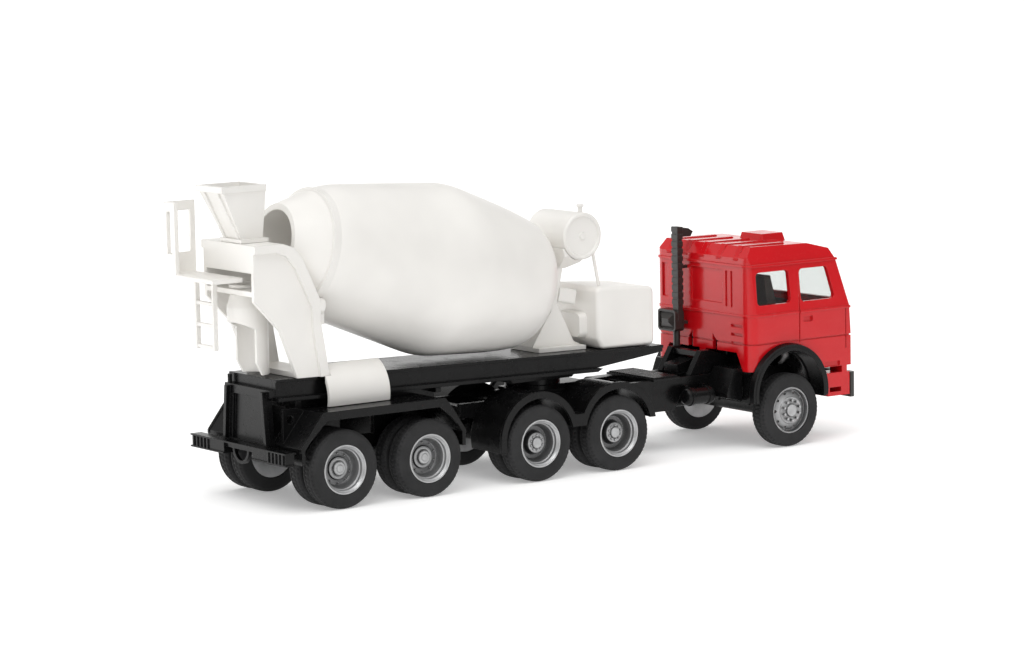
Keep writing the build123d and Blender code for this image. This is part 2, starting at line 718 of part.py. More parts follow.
# ---------------------------------------------------------------- front mudguards
guard_inner = half_track - front_tyre_width - 0.6
with BuildPart() as front_mudguards:
    with BuildSketch(side_face(-guard_inner)):
        with Locations((front_axle_x + 0.2, arch_z)):
            Circle(arch_radius + 0.2)
            Circle(arch_radius - 0.4, mode=Mode.SUBTRACT)
        with Locations((front_axle_x, arch_z - 7.5)):
            Rectangle(30, 12.6, mode=Mode.SUBTRACT)
    extrude(amount=half_track - guard_inner - 0.1)
    # broad lip proud of the cab side
    with BuildSketch(side_face(-cab_half_width - 0.1)):
        with Locations((front_axle_x + 0.2, arch_z)):
            Circle(arch_radius + 0.85)
            Circle(arch_radius - 0.4, mode=Mode.SUBTRACT)
        with Locations((front_axle_x, arch_z - 7.5)):
            Rectangle(30, 12.6, mode=Mode.SUBTRACT)
    extrude(amount=half_track - cab_half_width - 0.3, taper=10)
    # arms back to the frame
    for x in (front_axle_x + 0.3 - arch_radius, front_axle_x + 0.1 + arch_radius):
        with BuildSketch(side_face(-frame_half_width - seat_clearance)):
            with Locations((x, arch_z + 0.6)):
                Rectangle(0.7, 1.6)
        extrude(amount=guard_inner - frame_half_width + 0.3)
    mirror(about=Plane.XZ)

# ---------------------------------------------------------------- bumper
bumper_front_x = front_axle_x + front_overhang
bumper_low_z = axle_z + 0.75
bumper_high_z = axle_z + 5.05
bumper_depth = 1.3
lamp_y = 9.6
with BuildPart() as front_bumper:
    with BuildSketch(Plane.XY.offset(bumper_low_z)) as bumper_plan:
        with Locations((bumper_front_x - bumper_depth / 2, 0)):
            Rectangle(bumper_depth, 2 * cab_half_width + 0.3)
        fillet(bumper_plan.vertices().group_by(Axis.X)[-1], radius=0.9)
    extrude(amount=bumper_high_z - bumper_low_z)
    # two pairs of round lamps in their recesses
    with BuildSketch(Plane.YZ.offset(bumper_front_x - 0.35)):
        for y in (lamp_y, lamp_y - 2.6, 2.6 - lamp_y, -lamp_y):
            with Locations((y, (bumper_low_z + bumper_high_z) / 2)):
                Circle(1.05)
    extrude(amount=1.0, mode=Mode.SUBTRACT)
    with BuildSketch(Plane.YZ.offset(bumper_front_x - 0.4)):
        for y in (lamp_y, lamp_y - 2.6, 2.6 - lamp_y, -lamp_y):
            with Locations((y, (bumper_low_z + bumper_high_z) / 2)):
                Circle(0.85)
    extrude(amount=0.3, taper=15)
    # air slot in the middle
    with Locations((bumper_front_x, 0, axle_z + 2.2)):
        Box(0.8, 8.0, 1.0, mode=Mode.SUBTRACT)
    # brackets to the frame
    bracket_end_x = bumper_front_x - bumper_depth + 0.1
    for y in (frame_half_width - 0.5, 0.5 - frame_half_width):
        with Locations(((frame_front_x + seat_clearance + bracket_end_x) / 2, y, frame_bottom_z + 1.2)):
            Box(bracket_end_x - frame_front_x - seat_clearance, 1.0, 1.0)

# ---------------------------------------------------------------- fifth wheel
plate_z = axle_z + 7.65
plate_radius = 4.6
kingpin_radius = 0.9
with BuildPart() as fifth_wheel:
    with BuildSketch(Plane.XY.offset(plate_z - 0.9)) as top_plate:
        with Locations((kingpin_x, 0)):
            Circle(plate_radius)
        # ramps towards the front and the open throat behind
        with Locations((kingpin_x + 4.6, 0)):
            Rectangle(7.0, 2 * plate_radius - 1.0)
        with Locations((kingpin_x - 3.2, 0)):
            Rectangle(6.4, 1.2, mode=Mode.SUBTRACT)
        with Locations((kingpin_x, 0)):
            Circle(kingpin_radius + running_clearance, mode=Mode.SUBTRACT)
    extrude(amount=0.9)
    with BuildSketch(Plane.XY.offset(frame_top_z)):
        with Locations((kingpin_x, 3.4), (kingpin_x, -3.4)):
            Rectangle(4.0, 1.6)
    extrude(amount=plate_z - frame_top_z - 0.8)
    # feet onto the frame rails
    with BuildSketch(Plane.XY.offset(frame_top_z + seat_clearance)):
        for y in (frame_half_width - 1.0, 1.0 - frame_half_width):
            with Locations((kingpin_x + 1.0, y)):
                Rectangle(9.0, 1.8)
    extrude(amount=0.5)

# ---------------------------------------------------------------- rear mudguards
guard_gap = 1.25            # between the tread and the mudguard
guard_radius = tyre_radius + guard_gap
guard_z = axle_z + 0.65
guard_skin = 0.6
guard_outer_y = half_track - 0.1
valley_z = axle_z + 2.0
middle_x = (drive_axle_1_x + drive_axle_2_x) / 2


def open_below(rear_x, front_x, high_z):
    """Cut away everything of a side outline below a height, between two x."""
    depth = 4 * guard_radius
    with Locations(((rear_x + front_x) / 2, high_z - depth / 2)):
        Rectangle(front_x - rear_x, depth, mode=Mode.SUBTRACT)


with BuildPart() as rear_mudguards:
    with BuildSketch(side_face(-frame_half_width - seat_clearance)) as guard_band:
        for x in (drive_axle_1_x, drive_axle_2_x):
            with Locations((x, guard_z)):
                Circle(guard_radius)
        with Locations((middle_x, valley_z + 1.0)):
            Rectangle(2.4, 2.0)
        for x in (drive_axle_1_x, drive_axle_2_x):
            with Locations((x, guard_z)):
                Circle(guard_radius - guard_skin, mode=Mode.SUBTRACT)
        open_below(drive_axle_2_x, drive_axle_1_x, valley_z)
        open_below(drive_axle_1_x - 1, drive_axle_1_x + 2 * guard_radius, axle_z + 2.0)
        open_below(drive_axle_2_x - 2 * guard_radius, drive_axle_2_x + 1, axle_z - 1.0)
    extrude(amount=guard_outer_y - frame_half_width - seat_clearance)
    # raised lip along the outer edge
    with BuildSketch(side_face(-guard_outer_y + 0.5)):
        for x in (drive_axle_1_x, drive_axle_2_x):
            with Locations((x, guard_z)):
                Circle(guard_radius + 0.3)
        for x in (drive_axle_1_x, drive_axle_2_x):
            with Locations((x, guard_z)):
                Circle(guard_radius - guard_skin - 0.2, mode=Mode.SUBTRACT)
        open_below(drive_axle_2_x, drive_axle_1_x, valley_z)
        open_below(drive_axle_1_x - 1, drive_axle_1_x + 2 * guard_radius, axle_z + 2.0)
        open_below(drive_axle_2_x - 2 * guard_radius, drive_axle_2_x + 1, axle_z - 1.0)
    extrude(amount=0.5)
    # inner wall between the band and the frame rail
    with BuildSketch(side_face(-frame_half_width - seat_clearance)):
        for x in (drive_axle_1_x, drive_axle_2_x):
            with Locations((x, guard_z)):
                Circle(guard_radius - 0.2)
        with Locations((middle_x, frame_top_z - 1.2 - 8.0)):
            Rectangle(60, 16.0, mode=Mode.SUBTRACT)
    extrude(amount=0.6)
    mirror(about=Plane.XZ)

# ---------------------------------------------------------------- drum line
drum_tilt = 12.6
drum_length = 54.0
drum_front_z = axle_z + 22.9
platform_reach = 13.6       # drum mouth to the rear edge of the platform
platform_rear_x = trailer_axle_2_x - rear_overhang
drum_axis_direction = Vector(-1, 0, 0).rotate(Axis.Y, drum_tilt)
mouth_x = platform_rear_x + platform_reach
drum_front_x = mouth_x - drum_length * drum_axis_direction.X


def on_drum(along, up):
    """Point (x, z) at a distance along the drum's axis and square above it."""
    return (
        drum_front_x + along * drum_axis_direction.X + up * drum_axis_direction.Z,
        drum_front_z + along * drum_axis_direction.Z - up * drum_axis_direction.X,
    )


mouth_z = on_drum(drum_length, 0)[1]

# ---------------------------------------------------------------- trailer frame
deck_half_width = 6.7
flange_half_width = deck_half_width + 0.9
web_wall = 1.0
deck_skin = 1.0
flange_skin = 0.5
web_depth = 2.9
deck_rear_x = trailer_axle_2_x - tyre_radius - 1.55
deck_front_x = drum_front_x + 19.3
neck_x = kingpin_x + 8.0    # where the webs start to taper to the front
deck_rear_z = axle_z + 14.05
deck_front_z = axle_z + 12.5


def deck_z(x):
    """Height of the deck's top face, which falls gently to the front."""
    return deck_rear_z + (deck_front_z - deck_rear_z) * (x - deck_rear_x) / (deck_front_x - deck_rear_x)


with BuildPart() as trailer_frame:
    with BuildSketch(Plane.XZ):
        polygon([
            (deck_rear_x, deck_rear_z),
            (deck_front_x, deck_front_z),
            (deck_front_x, deck_front_z - deck_skin - 0.1),
            (neck_x, deck_z(neck_x) - web_depth),
            (deck_rear_x, deck_rear_z - web_depth),
        ])
    extrude(amount=deck_half_width, both=True)
    # hollow below the deck, between the webs
    with BuildSketch(Plane.XZ):
        polygon([
            (deck_rear_x + 1.0, deck_z(deck_rear_x + 1.0) - deck_skin),
            (deck_front_x - 1.0, deck_z(deck_front_x - 1.0) - deck_skin),
            (deck_front_x - 1.0, 0),
            (deck_rear_x + 1.0, 0),
        ])
    extrude(amount=deck_half_width - web_wall, both=True, mode=Mode.SUBTRACT)
    # lower flanges, narrow behind the neck
    for y in (-deck_half_width + web_wall, flange_half_width):
        with BuildSketch(side_face(y)):
            polygon([
                (deck_rear_x, deck_rear_z - web_depth + 0.1),
                (neck_x, deck_z(neck_x) - web_depth + 0.1),
                (neck_x + 1.0, deck_z(neck_x) - web_depth),
                (neck_x, deck_z(neck_x) - web_depth - flange_skin),
                (deck_rear_x, deck_rear_z - web_depth - flange_skin),
            ])
        extrude(amount=flange_half_width - deck_half_width + web_wall)
    # upper flange edge along the deck
    for y in (-deck_half_width, deck_half_width + 0.25):
        with BuildSketch(side_face(y)):
            polygon([
                (deck_rear_x, deck_rear_z),
                (deck_front_x, deck_front_z),
                (deck_front_x, deck_front_z - 0.45),
                (deck_rear_x, deck_rear_z - 0.45),
            ])
        extrude(amount=0.25)
    # cross members under the deck
    for x in (deck_rear_x + 12.0, trailer_axle_1_x, trailer_axle_1_x + 12.0, kingpin_x + 12.5):
        with Locations((x, 0, deck_z(x) - deck_skin - 0.5)):
            Box(1.2, 2 * (deck_half_width - web_wall), 1.2)

turntable_length = 14.0
turntable_z = guard_z + guard_radius + 0.65     # clears the lips of the mudguards
with BuildPart() as kingpin_plate:
    # block between the webs, its top following the deck
    block_front_x = kingpin_x + 5.0
    block_rear_x = block_front_x - turntable_length
    with BuildSketch(Plane.XZ):
        polygon([
            (block_rear_x, deck_z(block_rear_x) - deck_skin - seat_clearance),
            (block_front_x, deck_z(block_front_x) - deck_skin - seat_clearance),
            (block_front_x, turntable_z + 1.0),
            (block_front_x - 1.0, turntable_z),
            (block_rear_x + 1.0, turntable_z),
            (block_rear_x, turntable_z + 1.0),
        ])
    extrude(amount=deck_half_width - web_wall - seat_clearance, both=True)
    # round bearing plate and the pin below it
    with BuildSketch(Plane.XY.offset(plate_z + 0.1)):
        with Locations((kingpin_x, 0)):
            Circle(plate_radius)
    extrude(amount=turntable_z - plate_z)
    with BuildSketch(Plane.XY.offset(plate_z + 0.2)):
        with Locations((kingpin_x, 0)):
            Circle(kingpin_radius)
    extrude(amount=-2.0)

# ---------------------------------------------------------------- trailer running gear
gear_top_z = deck_rear_z - web_depth - flange_skin
gear_front_x = kingpin_x - 23.5     # stays out of the tandem's way when turned
gear_wall = 1.0
gear_half_width = 5.4
fender_z = axle_z + 9.15
fender_skin = 0.6
fender_outer_y = half_track - 0.2


def flange_under_z(x):
    """Height of the underside of the trailer's lower flanges."""
    return deck_z(x) - web_depth - flange_skin


with BuildPart() as trailer_running_gear:
    for x in (trailer_axle_1_x, trailer_axle_2_x):
        bearing_block(x, casing_half, casing_radius)
    for y in (gear_half_width - gear_wall, -gear_half_width):
        with BuildSketch(side_face(y + gear_wall)):
            polygon([
                (trailer_axle_2_x - 4.6, flange_under_z(trailer_axle_2_x - 4.6) - seat_clearance),
                (gear_front_x, flange_under_z(gear_front_x) - seat_clearance),
                (gear_front_x, fender_z - 2.0),
                (trailer_axle_1_x + 4.6, axle_z + 1.4),
                (trailer_axle_1_x + 2.0, axle_z - 1.3),
                (trailer_axle_1_x - 2.0, axle_z - 1.3),
                (trailer_axle_1_x - 4.0, axle_z + 1.4),
                (trailer_axle_2_x + 4.0, axle_z + 1.4),
                (trailer_axle_2_x + 2.0, axle_z - 1.3),
                (trailer_axle_2_x - 2.0, axle_z - 1.3),
                (trailer_axle_2_x - 4.6, axle_z + 2.0),
            ])
            # openings between the axles and ahead of them
            with Locations(((trailer_axle_1_x + trailer_axle_2_x) / 2, axle_z + 5.6)):
                Rectangle(6.4, 4.2, mode=Mode.SUBTRACT)
        extrude(amount=gear_wall)
    # webs out to the flanges at both ends and between the axles
    for x in (gear_front_x - 0.5, (trailer_axle_1_x + trailer_axle_2_x) / 2, trailer_axle_2_x - 4.1):
        with BuildSketch(Plane.YZ.offset(x - 0.5)):
            with Locations((0, (fender_z + flange_under_z(x)) / 2)):
                Rectangle(2 * flange_half_width - 0.4, flange_under_z(x) - fender_z - 2 * seat_clearance)
        extrude(amount=1.0)
    for x in (trailer_axle_1_x, trailer_axle_2_x):
        bearing_bore(x, casing_half)

fender_front_x = trailer_axle_1_x + tyre_radius + 0.75
fender_rear_x = deck_rear_x
flap_low_z = axle_z + 1.4
fender_line = [
    (fender_rear_x, flap_low_z),
    (fender_rear_x, axle_z + 3.95),
    (trailer_axle_2_x - 3.6, fender_z),
    (trailer_axle_1_x + 3.2, fender_z),
    (trailer_axle_1_x + 4.4, fender_z - 1.5),
    (fender_front_x, axle_z + 3.8),
    (fender_front_x, flap_low_z),
]
fender_inner_line = [
    (fender_front_x - fender_skin, flap_low_z),
    (fender_front_x - fender_skin, axle_z + 3.65),
    (trailer_axle_1_x + 3.9, fender_z - 1.75),
    (trailer_axle_1_x + 2.9, fender_z - fender_skin),
    (trailer_axle_2_x - 3.3, fender_z - fender_skin),
    (fender_rear_x + fender_skin, axle_z + 3.7),
    (fender_rear_x + fender_skin, flap_low_z),
]
with BuildPart() as trailer_fenders:
    with BuildSketch(side_face(-gear_half_width - seat_clearance)):
        polygon(fender_line + fender_inner_line)
    extrude(amount=fender_outer_y - gear_half_width - seat_clearance)
    # edge beam along the outside, a little deeper than the sheet
    with BuildSketch(side_face(-fender_outer_y + 0.5)):
        polygon([
            (fender_rear_x - 0.1, axle_z + 3.4),
            (fender_rear_x - 0.1, axle_z + 4.0),
            (trailer_axle_2_x - 3.7, fender_z + 0.15),
            (trailer_axle_1_x + 3.3, fender_z + 0.15),
            (trailer_axle_1_x + 4.6, fender_z - 1.5),
            (fender_front_x + 0.1, axle_z + 3.9),
            (fender_front_x + 0.1, axle_z + 3.3),
            (trailer_axle_1_x + 3.7, fender_z - 2.3),
            (trailer_axle_1_x + 2.4, fender_z - 1.2),
            (trailer_axle_2_x - 3.0, fender_z - 1.2),
        ])
    extrude(amount=0.5)
    # gusset wall at the rear end, with its round hole
    with BuildSketch(side_face(-flange_half_width - 0.2)):
        polygon([
            (fender_rear_x + 0.2, axle_z + 3.9),
            (fender_rear_x + 0.2, fender_z + 0.4),
            (trailer_axle_2_x - 5.0, fender_z + 0.4),
            (trailer_axle_2_x - 3.7, fender_z - 0.2),
        ])
        with Locations((fender_rear_x + 1.5, fender_z - 1.3)):
            Circle(0.7, mode=Mode.SUBTRACT)
    extrude(amount=0.5)
    mirror(about=Plane.XZ)

# ---------------------------------------------------------------- rear bulkhead and light bar
light_bar_x = deck_rear_x - 2.2
bar_low_z = axle_z + 1.55
bar_high_z = axle_z + 3.65
shelf_z = axle_z + 3.0
bulkhead_thickness = 1.0
with BuildPart() as rear_bulkhead:
    with BuildSketch(Plane.YZ.offset(deck_rear_x - seat_clearance)):
        polygon([
            (-5.5, deck_rear_z - 1.7),
            (5.5, deck_rear_z - 1.7),
            (6.3, shelf_z),
            (-6.3, shelf_z),
        ])
        with Locations((0, deck_rear_z - 2.2)):
            Rectangle(2 * deck_half_width - 0.1, 1.2)
    extrude(amount=-bulkhead_thickness)
    # recessed panel between the slanted posts
    with BuildSketch(Plane.YZ.offset(deck_rear_x - 0.6)):
        polygon([
            (-4.1, deck_rear_z - 3.0),
            (4.1, deck_rear_z - 3.0),
            (4.7, shelf_z + 0.8),
            (-4.7, shelf_z + 0.8),
        ])
    extrude(amount=-2.0, mode=Mode.SUBTRACT)
    # standing ribs along both posts
    for side in (1, -1):
        with BuildSketch(Plane.YZ.offset(deck_rear_x - 1.0)):
            polygon([
                (side * 4.9, deck_rear_z - 1.9),
                (side * 5.6, deck_rear_z - 1.9),
                (side * 6.4, bar_high_z + 0.1),
                (side * 5.7, bar_high_z + 0.1),
            ])
        extrude(amount=-0.8)
    # shelf out to the light bar
    with BuildSketch(Plane.XY.offset(shelf_z - 0.6)):
        polygon([
            (deck_rear_x - 0.3, -8.0),
            (deck_rear_x - 0.3, 8.0),
            (light_bar_x + 1.05, 12.4),
            (light_bar_x + 1.05, -12.4),
        ])
    extrude(amount=0.8)
    # locking pin on the top corner
    with BuildSketch(Plane.XY.offset(deck_rear_z - 1.8)):
        with Locations((deck_rear_x - 0.6, deck_half_width - 0.9)):
            Circle(0.35)
    extrude(amount=1.6)

lamp_block_length = 5.2
with BuildPart() as rear_light_bar:
    # bar with thin lips above and below its face
    with Locations((light_bar_x, 0, (bar_low_z + bar_high_z) / 2)):
        Box(1.6, 2 * (half_track - 0.3), bar_high_z - bar_low_z - 0.5)
    for z in (bar_low_z + 0.12, bar_high_z - 0.12):
        with Locations((light_bar_x, 0, z)):
            Box(2.0, 2 * half_track - 0.1, 0.24)
    # middle stretch cut back and left open below
    with Locations((light_bar_x, 0, bar_low_z)):
        Box(4.0, 8.4, 2.2, mode=Mode.SUBTRACT)
    with Locations((light_bar_x - 0.9, 0, bar_high_z - 0.8)):
        Box(1.0, 8.4, 1.0, mode=Mode.SUBTRACT)
    # ribs of the lamp blocks
    for y in (half_track - lamp_block_length / 2 - 0.4, lamp_block_length / 2 + 0.4 - half_track):
        with BuildSketch(Plane.XY.offset(bar_low_z + 0.2)):
            with Locations((light_bar_x - 0.85, y)):
                with GridLocations(0, lamp_block_length / 5, 1, 5):
                    Rectangle(0.3, 0.35)
        extrude(amount=bar_high_z - bar_low_z - 0.4)
    # curved tow loop hanging under the middle
    with BuildSketch(Plane.YZ.offset(light_bar_x - 0.3)) as loop:
        with Locations((0, bar_low_z + 1.2)):
            Circle(2.4)
            Circle(1.9, mode=Mode.SUBTRACT)
        with Locations((0, bar_low_z + 3.1)):
            Rectangle(6.0, 4.0, mode=Mode.SUBTRACT)
    extrude(amount=0.6)

# ---------------------------------------------------------------- drum
drum_pin_radius = 1.2
drum_pin_length = 1.25
mouth_radius = 6.2
mouth_bore_radius = 5.2
mouth_depth = 7.0
ring_along = 48.2           # middle of the roller ring from the drum's front
ring_radius = 9.6
ring_width = 1.2
drum_section_plane = Plane(
    origin=(drum_front_x, 0, drum_front_z),
    x_dir=drum_axis_direction,
    z_dir=(0, -1, 0),
)
drum_axis = Axis((drum_front_x, 0, drum_front_z), drum_axis_direction)


def across_drum(along):
    """Plane square to the drum's axis, its normal pointing to the front."""
    x, z = on_drum(along, 0)
    return Plane(origin=(x, 0, z), x_dir=(0, 1, 0), z_dir=-drum_axis_direction)


with BuildPart() as drum:
    with BuildSketch(drum_section_plane):
        with BuildLine():
            Polyline((1.2, 4.85), (0, 3.5), (0, drum_pin_radius))
            Polyline((0, drum_pin_radius), (-drum_pin_length, drum_pin_radius), (-drum_pin_length, 0))
            Polyline((-drum_pin_length, 0), (drum_length - mouth_depth - 1.5, 0))
            Polyline(
                (drum_length - mouth_depth - 1.5, 0),
                (drum_length - mouth_depth, mouth_bore_radius),
                (drum_length, mouth_bore_radius),
                (drum_length, mouth_radius),
            )
            FilletPolyline(
                (1.2, 4.85),
                (5.4, 10.5),
                (12.0, 12.1),
                (24.0, 14.2),
                (46.0, 10.5),
                (drum_length, mouth_radius),
                radius=(4.0, 9.0, 16.0, 9.0),
            )
        make_face()
    revolve(axis=drum_axis)
    with BuildSketch(drum_section_plane):
        with Locations((ring_along, ring_radius - 1.0)):
            Rectangle(ring_width, 2.0)
    revolve(axis=drum_axis)

# ---------------------------------------------------------------- front support
yoke_gap = 0.35             # between the drum's front face and the yoke
yoke_thickness = 0.9
yoke_half_width = 2.2
tank_radius = 3.9
tank_half_length = 5.3
tank_x = drum_front_x + 4.1
tank_z = drum_front_z + 8.9
foot_front_x = drum_front_x + 5.3
foot_rear_x = drum_front_x - 4.3


def deck_seat(x):
    """Height at which a piece stands on the deck at x."""
    return deck_z(x) + seat_clearance


with BuildPart() as front_pedestal:
    with BuildSketch(Plane.XZ):
        polygon([
            on_drum(-yoke_gap, 5.4),
            on_drum(-yoke_gap - yoke_thickness, 5.2),
            on_drum(-yoke_gap - yoke_thickness, -2.0),
            (foot_front_x - 1.2, deck_seat(foot_front_x) + 1.3),
            (foot_front_x, deck_seat(foot_front_x) + 0.8),
            (foot_front_x, deck_seat(foot_front_x)),
            (foot_rear_x, deck_seat(foot_rear_x)),
            (foot_rear_x, deck_seat(foot_rear_x) + 0.8),
            on_drum(0.6, -5.6),
            on_drum(-yoke_gap, -3.6),
        ])
    extrude(amount=yoke_half_width, both=True)
    # flared foot
    with BuildSketch(Plane.XZ):
        polygon([
            (foot_front_x, deck_seat(foot_front_x)),
            (foot_front_x, deck_seat(foot_front_x) + 0.7),
            (foot_rear_x, deck_seat(foot_rear_x) + 0.7),
            (foot_rear_x, deck_seat(foot_rear_x)),
        ])
    extrude(amount=4.0, both=True)
    # saddle below the water tank, narrowing down to the yoke
    with BuildPart(mode=Mode.PRIVATE) as saddle:
        with BuildSketch(Plane.XZ):
            polygon([
                (tank_x - tank_radius, tank_z - 1.8),
                on_drum(-yoke_gap, 4.0),
                on_drum(-yoke_gap - yoke_thickness, 3.6),
                (tank_x + 0.8, tank_z - tank_radius - 0.6),
                (tank_x + 1.6, tank_z - 2.0),
            ])
        extrude(amount=tank_half_length, both=True)
        with BuildSketch(Plane.YZ.offset(tank_x - 10)):
            polygon([
                (-tank_half_length + 0.5, tank_z),
                (tank_half_length - 0.5, tank_z),
                (tank_half_length - 0.5, tank_z - 3.2),
                (yoke_half_width, on_drum(0, 3.6)[1]),
                (-yoke_half_width, on_drum(0, 3.6)[1]),
                (-tank_half_length + 0.5, tank_z - 3.2),
            ])
        extrude(amount=20, mode=Mode.INTERSECT)
    add(saddle.part)
    with BuildSketch(Plane.XZ):
        with Locations((tank_x, tank_z)):
            Circle(tank_radius + seat_clearance)
    extrude(amount=tank_half_length + 1, both=True, mode=Mode.SUBTRACT)
    # bearing bore for the drum's front pin
    with BuildSketch(across_drum(1.0)):
        Circle(drum_pin_radius + running_clearance)
    extrude(amount=1.0 + yoke_gap + yoke_thickness + 0.2, mode=Mode.SUBTRACT)

with BuildPart() as drum_drive:
    drive_face = across_drum(-yoke_gap - yoke_thickness - seat_clearance)
    with BuildSketch(drive_face) as drive_section:
        with Locations((0, -0.5)):
            RectangleRounded(5.0, 2.5, 0.5)
    extrude(amount=3.4)
    with BuildSketch(drive_face.offset(3.4)):
        with Locations((0, -0.5)):
            Circle(1.0)
    extrude(amount=0.9)

with BuildPart() as water_tank:
    with BuildSketch(Plane(origin=(tank_x, 0, tank_z), x_dir=(0, 1, 0), z_dir=(1, 0, 0))):
        polygon([
            (0, 0),
            (0, tank_radius),
            (tank_half_length - 0.25, tank_radius),
            (tank_half_length, tank_radius - 0.25),
            (tank_half_length, tank_radius - 0.6),
            (tank_half_length - 0.3, tank_radius - 0.8),
            (tank_half_length - 0.3, 0.65),
            (tank_half_length + 0.05, 0.5),
            (tank_half_length + 0.05, 0),
        ])
    revolve(axis=Axis((tank_x, 0, tank_z), (0, 1, 0)))
    mirror(about=Plane.XZ)
    # filler neck with its cap
    with BuildSketch(Plane.XY.offset(tank_z + tank_radius - 0.5)):
        with Locations((tank_x + 0.2, -tank_half_length + 1.0)):
            Circle(0.4)
    extrude(amount=1.6)
    with BuildSketch(Plane.XY.offset(tank_z + tank_radius + 0.9)):
        with Locations((tank_x + 0.2, -tank_half_length + 1.0)):
            Circle(0.6)
    extrude(amount=0.4)
    # feed pipe down to the pump unit
    pipe_top = Vector(tank_x + 2.3, -tank_half_length + 0.6, tank_z - 2.6)
    pipe_foot = Vector(drum_front_x + 7.6, -tank_half_length + 0.6, drum_front_z + 0.45)
    with BuildSketch(Plane(origin=pipe_top, z_dir=pipe_foot - pipe_top)):
        Circle(0.28)
    extrude(amount=(pipe_foot - pipe_top).length)

# ---------------------------------------------------------------- engine housing
housing_rear_x = drum_front_x + 6.1
housing_length = 12.0
housing_half_width = 6.2
housing_front_x = housing_rear_x + housing_length
housing_rear_z = drum_front_z + 0.35
housing_front_z = drum_front_z - 0.45
with BuildPart() as engine_housing:
    with BuildSketch(Plane.XZ) as housing_side:
        polygon([
            (housing_rear_x + 1.0, deck_seat(housing_rear_x + 1.0)),
            (housing_front_x, deck_seat(housing_front_x)),
            (housing_front_x, housing_front_z),
            (housing_rear_x, housing_rear_z),
            (housing_rear_x, deck_seat(housing_rear_x) + 1.8),
        ])
        fillet(housing_side.vertices().group_by(Axis.Z)[-1], radius=1.0)
    extrude(amount=housing_half_width, both=True)
    fillet(engine_housing.faces().sort_by(Axis.Y)[0].edges(), radius=0.7)
    fillet(engine_housing.faces().sort_by(Axis.Y)[-1].edges(), radius=0.7)
    # intake louvres on both sides
    for y in (housing_half_width, -housing_half_width):
        for i in range(5):
            with Locations((housing_front_x - 3.4, y, housing_front_z - 2.6 - i * 0.9)):
                Box(3.6, 0.4, 0.35, mode=Mode.SUBTRACT)
    # pump on the rear face
    with BuildSketch(Plane.YZ.offset(housing_rear_x + 0.2)) as pump:
        with Locations((0, deck_seat(housing_rear_x) + 3.9)):
            RectangleRounded(7.0, 4.4, 1.2)
    extrude(amount=-1.7, taper=8)

# ---------------------------------------------------------------- rear pedestal
bell_plate_y = 6.6          # inner face of each side plate
bell_wall = 0.8
flange_rise = 0.6
chute_x = mouth_x - 5.0
swivel_radius = 2.3
swivel_z = mouth_z - 7.4    # underside of the shelf that carries the chute
shelf_thickness = 0.8
roller_radius = 1.3
roller_gap = 0.1
roller_angle = 38.0
bell_line = [
    (mouth_x + 4.9, deck_seat(mouth_x + 4.9)),
    (mouth_x + 3.5, mouth_z - 12.3),
    (mouth_x + 3.4, mouth_z - 8.5),
    (mouth_x + 1.9, mouth_z - 5.2),
    (mouth_x + 0.3, mouth_z - 1.9),
    (mouth_x - 1.2, mouth_z - 0.1),
    (mouth_x - 3.0, mouth_z + 0.55),
    (mouth_x - 8.2, mouth_z + 0.55),
    (mouth_x - 8.2, mouth_z - 8.2),
    (mouth_x - 3.7, mouth_z - 13.0),
    (mouth_x - 0.7, deck_seat(mouth_x - 0.7)),
]
with BuildPart() as rear_pedestal:
    for side in (1, -1):
        with BuildSketch(side_face(side * (bell_plate_y + bell_wall / 2))):
            polygon(bell_line)
        extrude(amount=bell_wall / 2, both=True)
        # flange along the front and top edges, the plate lying recessed in it
        with BuildSketch(side_face(side * (bell_plate_y + bell_wall + flange_rise / 2))):
            polygon(bell_line)
            polygon([(x - 1.4, z - 1.3) for x, z in bell_line], mode=Mode.SUBTRACT)
        extrude(amount=flange_rise / 2, both=True)
    # base on the deck
    with BuildSketch(Plane.XZ):
        polygon([
            (mouth_x + 4.9, deck_seat(mouth_x + 4.9)),
            (mouth_x + 4.7, deck_seat(mouth_x + 4.9) + 0.9),
            (mouth_x - 1.0, deck_seat(mouth_x - 0.7) + 0.9),
            (mouth_x - 0.7, deck_seat(mouth_x - 0.7)),
        ])
    extrude(amount=bell_plate_y + 0.2, both=True)
    # head between the plates, open in the middle for the spout
    with Locations((mouth_x - 5.6, 0, mouth_z + 0.15)):
        Box(5.2, 2 * bell_plate_y + 0.4, 0.8)
    with Locations((mouth_x - 5.2, 0, mouth_z)):
        Box(3.0, 5.0, 3.0, mode=Mode.SUBTRACT)
    with Locations((mouth_x - 7.8, 0, mouth_z - 1.6)):
        Box(0.8, 2 * bell_plate_y + 0.4, 4.3)
    # shelf that carries the swivelling chute
    with Locations((mouth_x - 5.3, 0, swivel_z + shelf_thickness / 2)):
        Box(5.8, 2 * bell_plate_y + 0.4, shelf_thickness)
    with BuildSketch(Plane.XY.offset(swivel_z - 1)):
        with Locations((chute_x, 0)):
            Circle(swivel_radius + running_clearance)
    extrude(amount=shelf_thickness + 2, mode=Mode.SUBTRACT)
    # roller pads below the drum's ring, each on its bracket
    roller_distance = ring_radius + roller_gap + roller_radius
    roller_turn = Rotation(0, 0, roller_angle)
    for side in (1, -1):
        ring_plane = across_drum(ring_along)
        roller_place = Vector(0, -roller_distance, 0).rotate(Axis.Z, side * roller_angle)
        with BuildSketch(ring_plane.offset(-ring_width / 2)):
            with Locations((roller_place.X, roller_place.Y)):
                Circle(roller_radius)
        extrude(amount=ring_width)
        bracket = ring_plane.from_local_coords(roller_place)
        with Locations((bracket.X - 0.4, side * (bell_plate_y + 0.4), bracket.Z - 1.7)):
            Box(2.2, 0.8, 2.4)

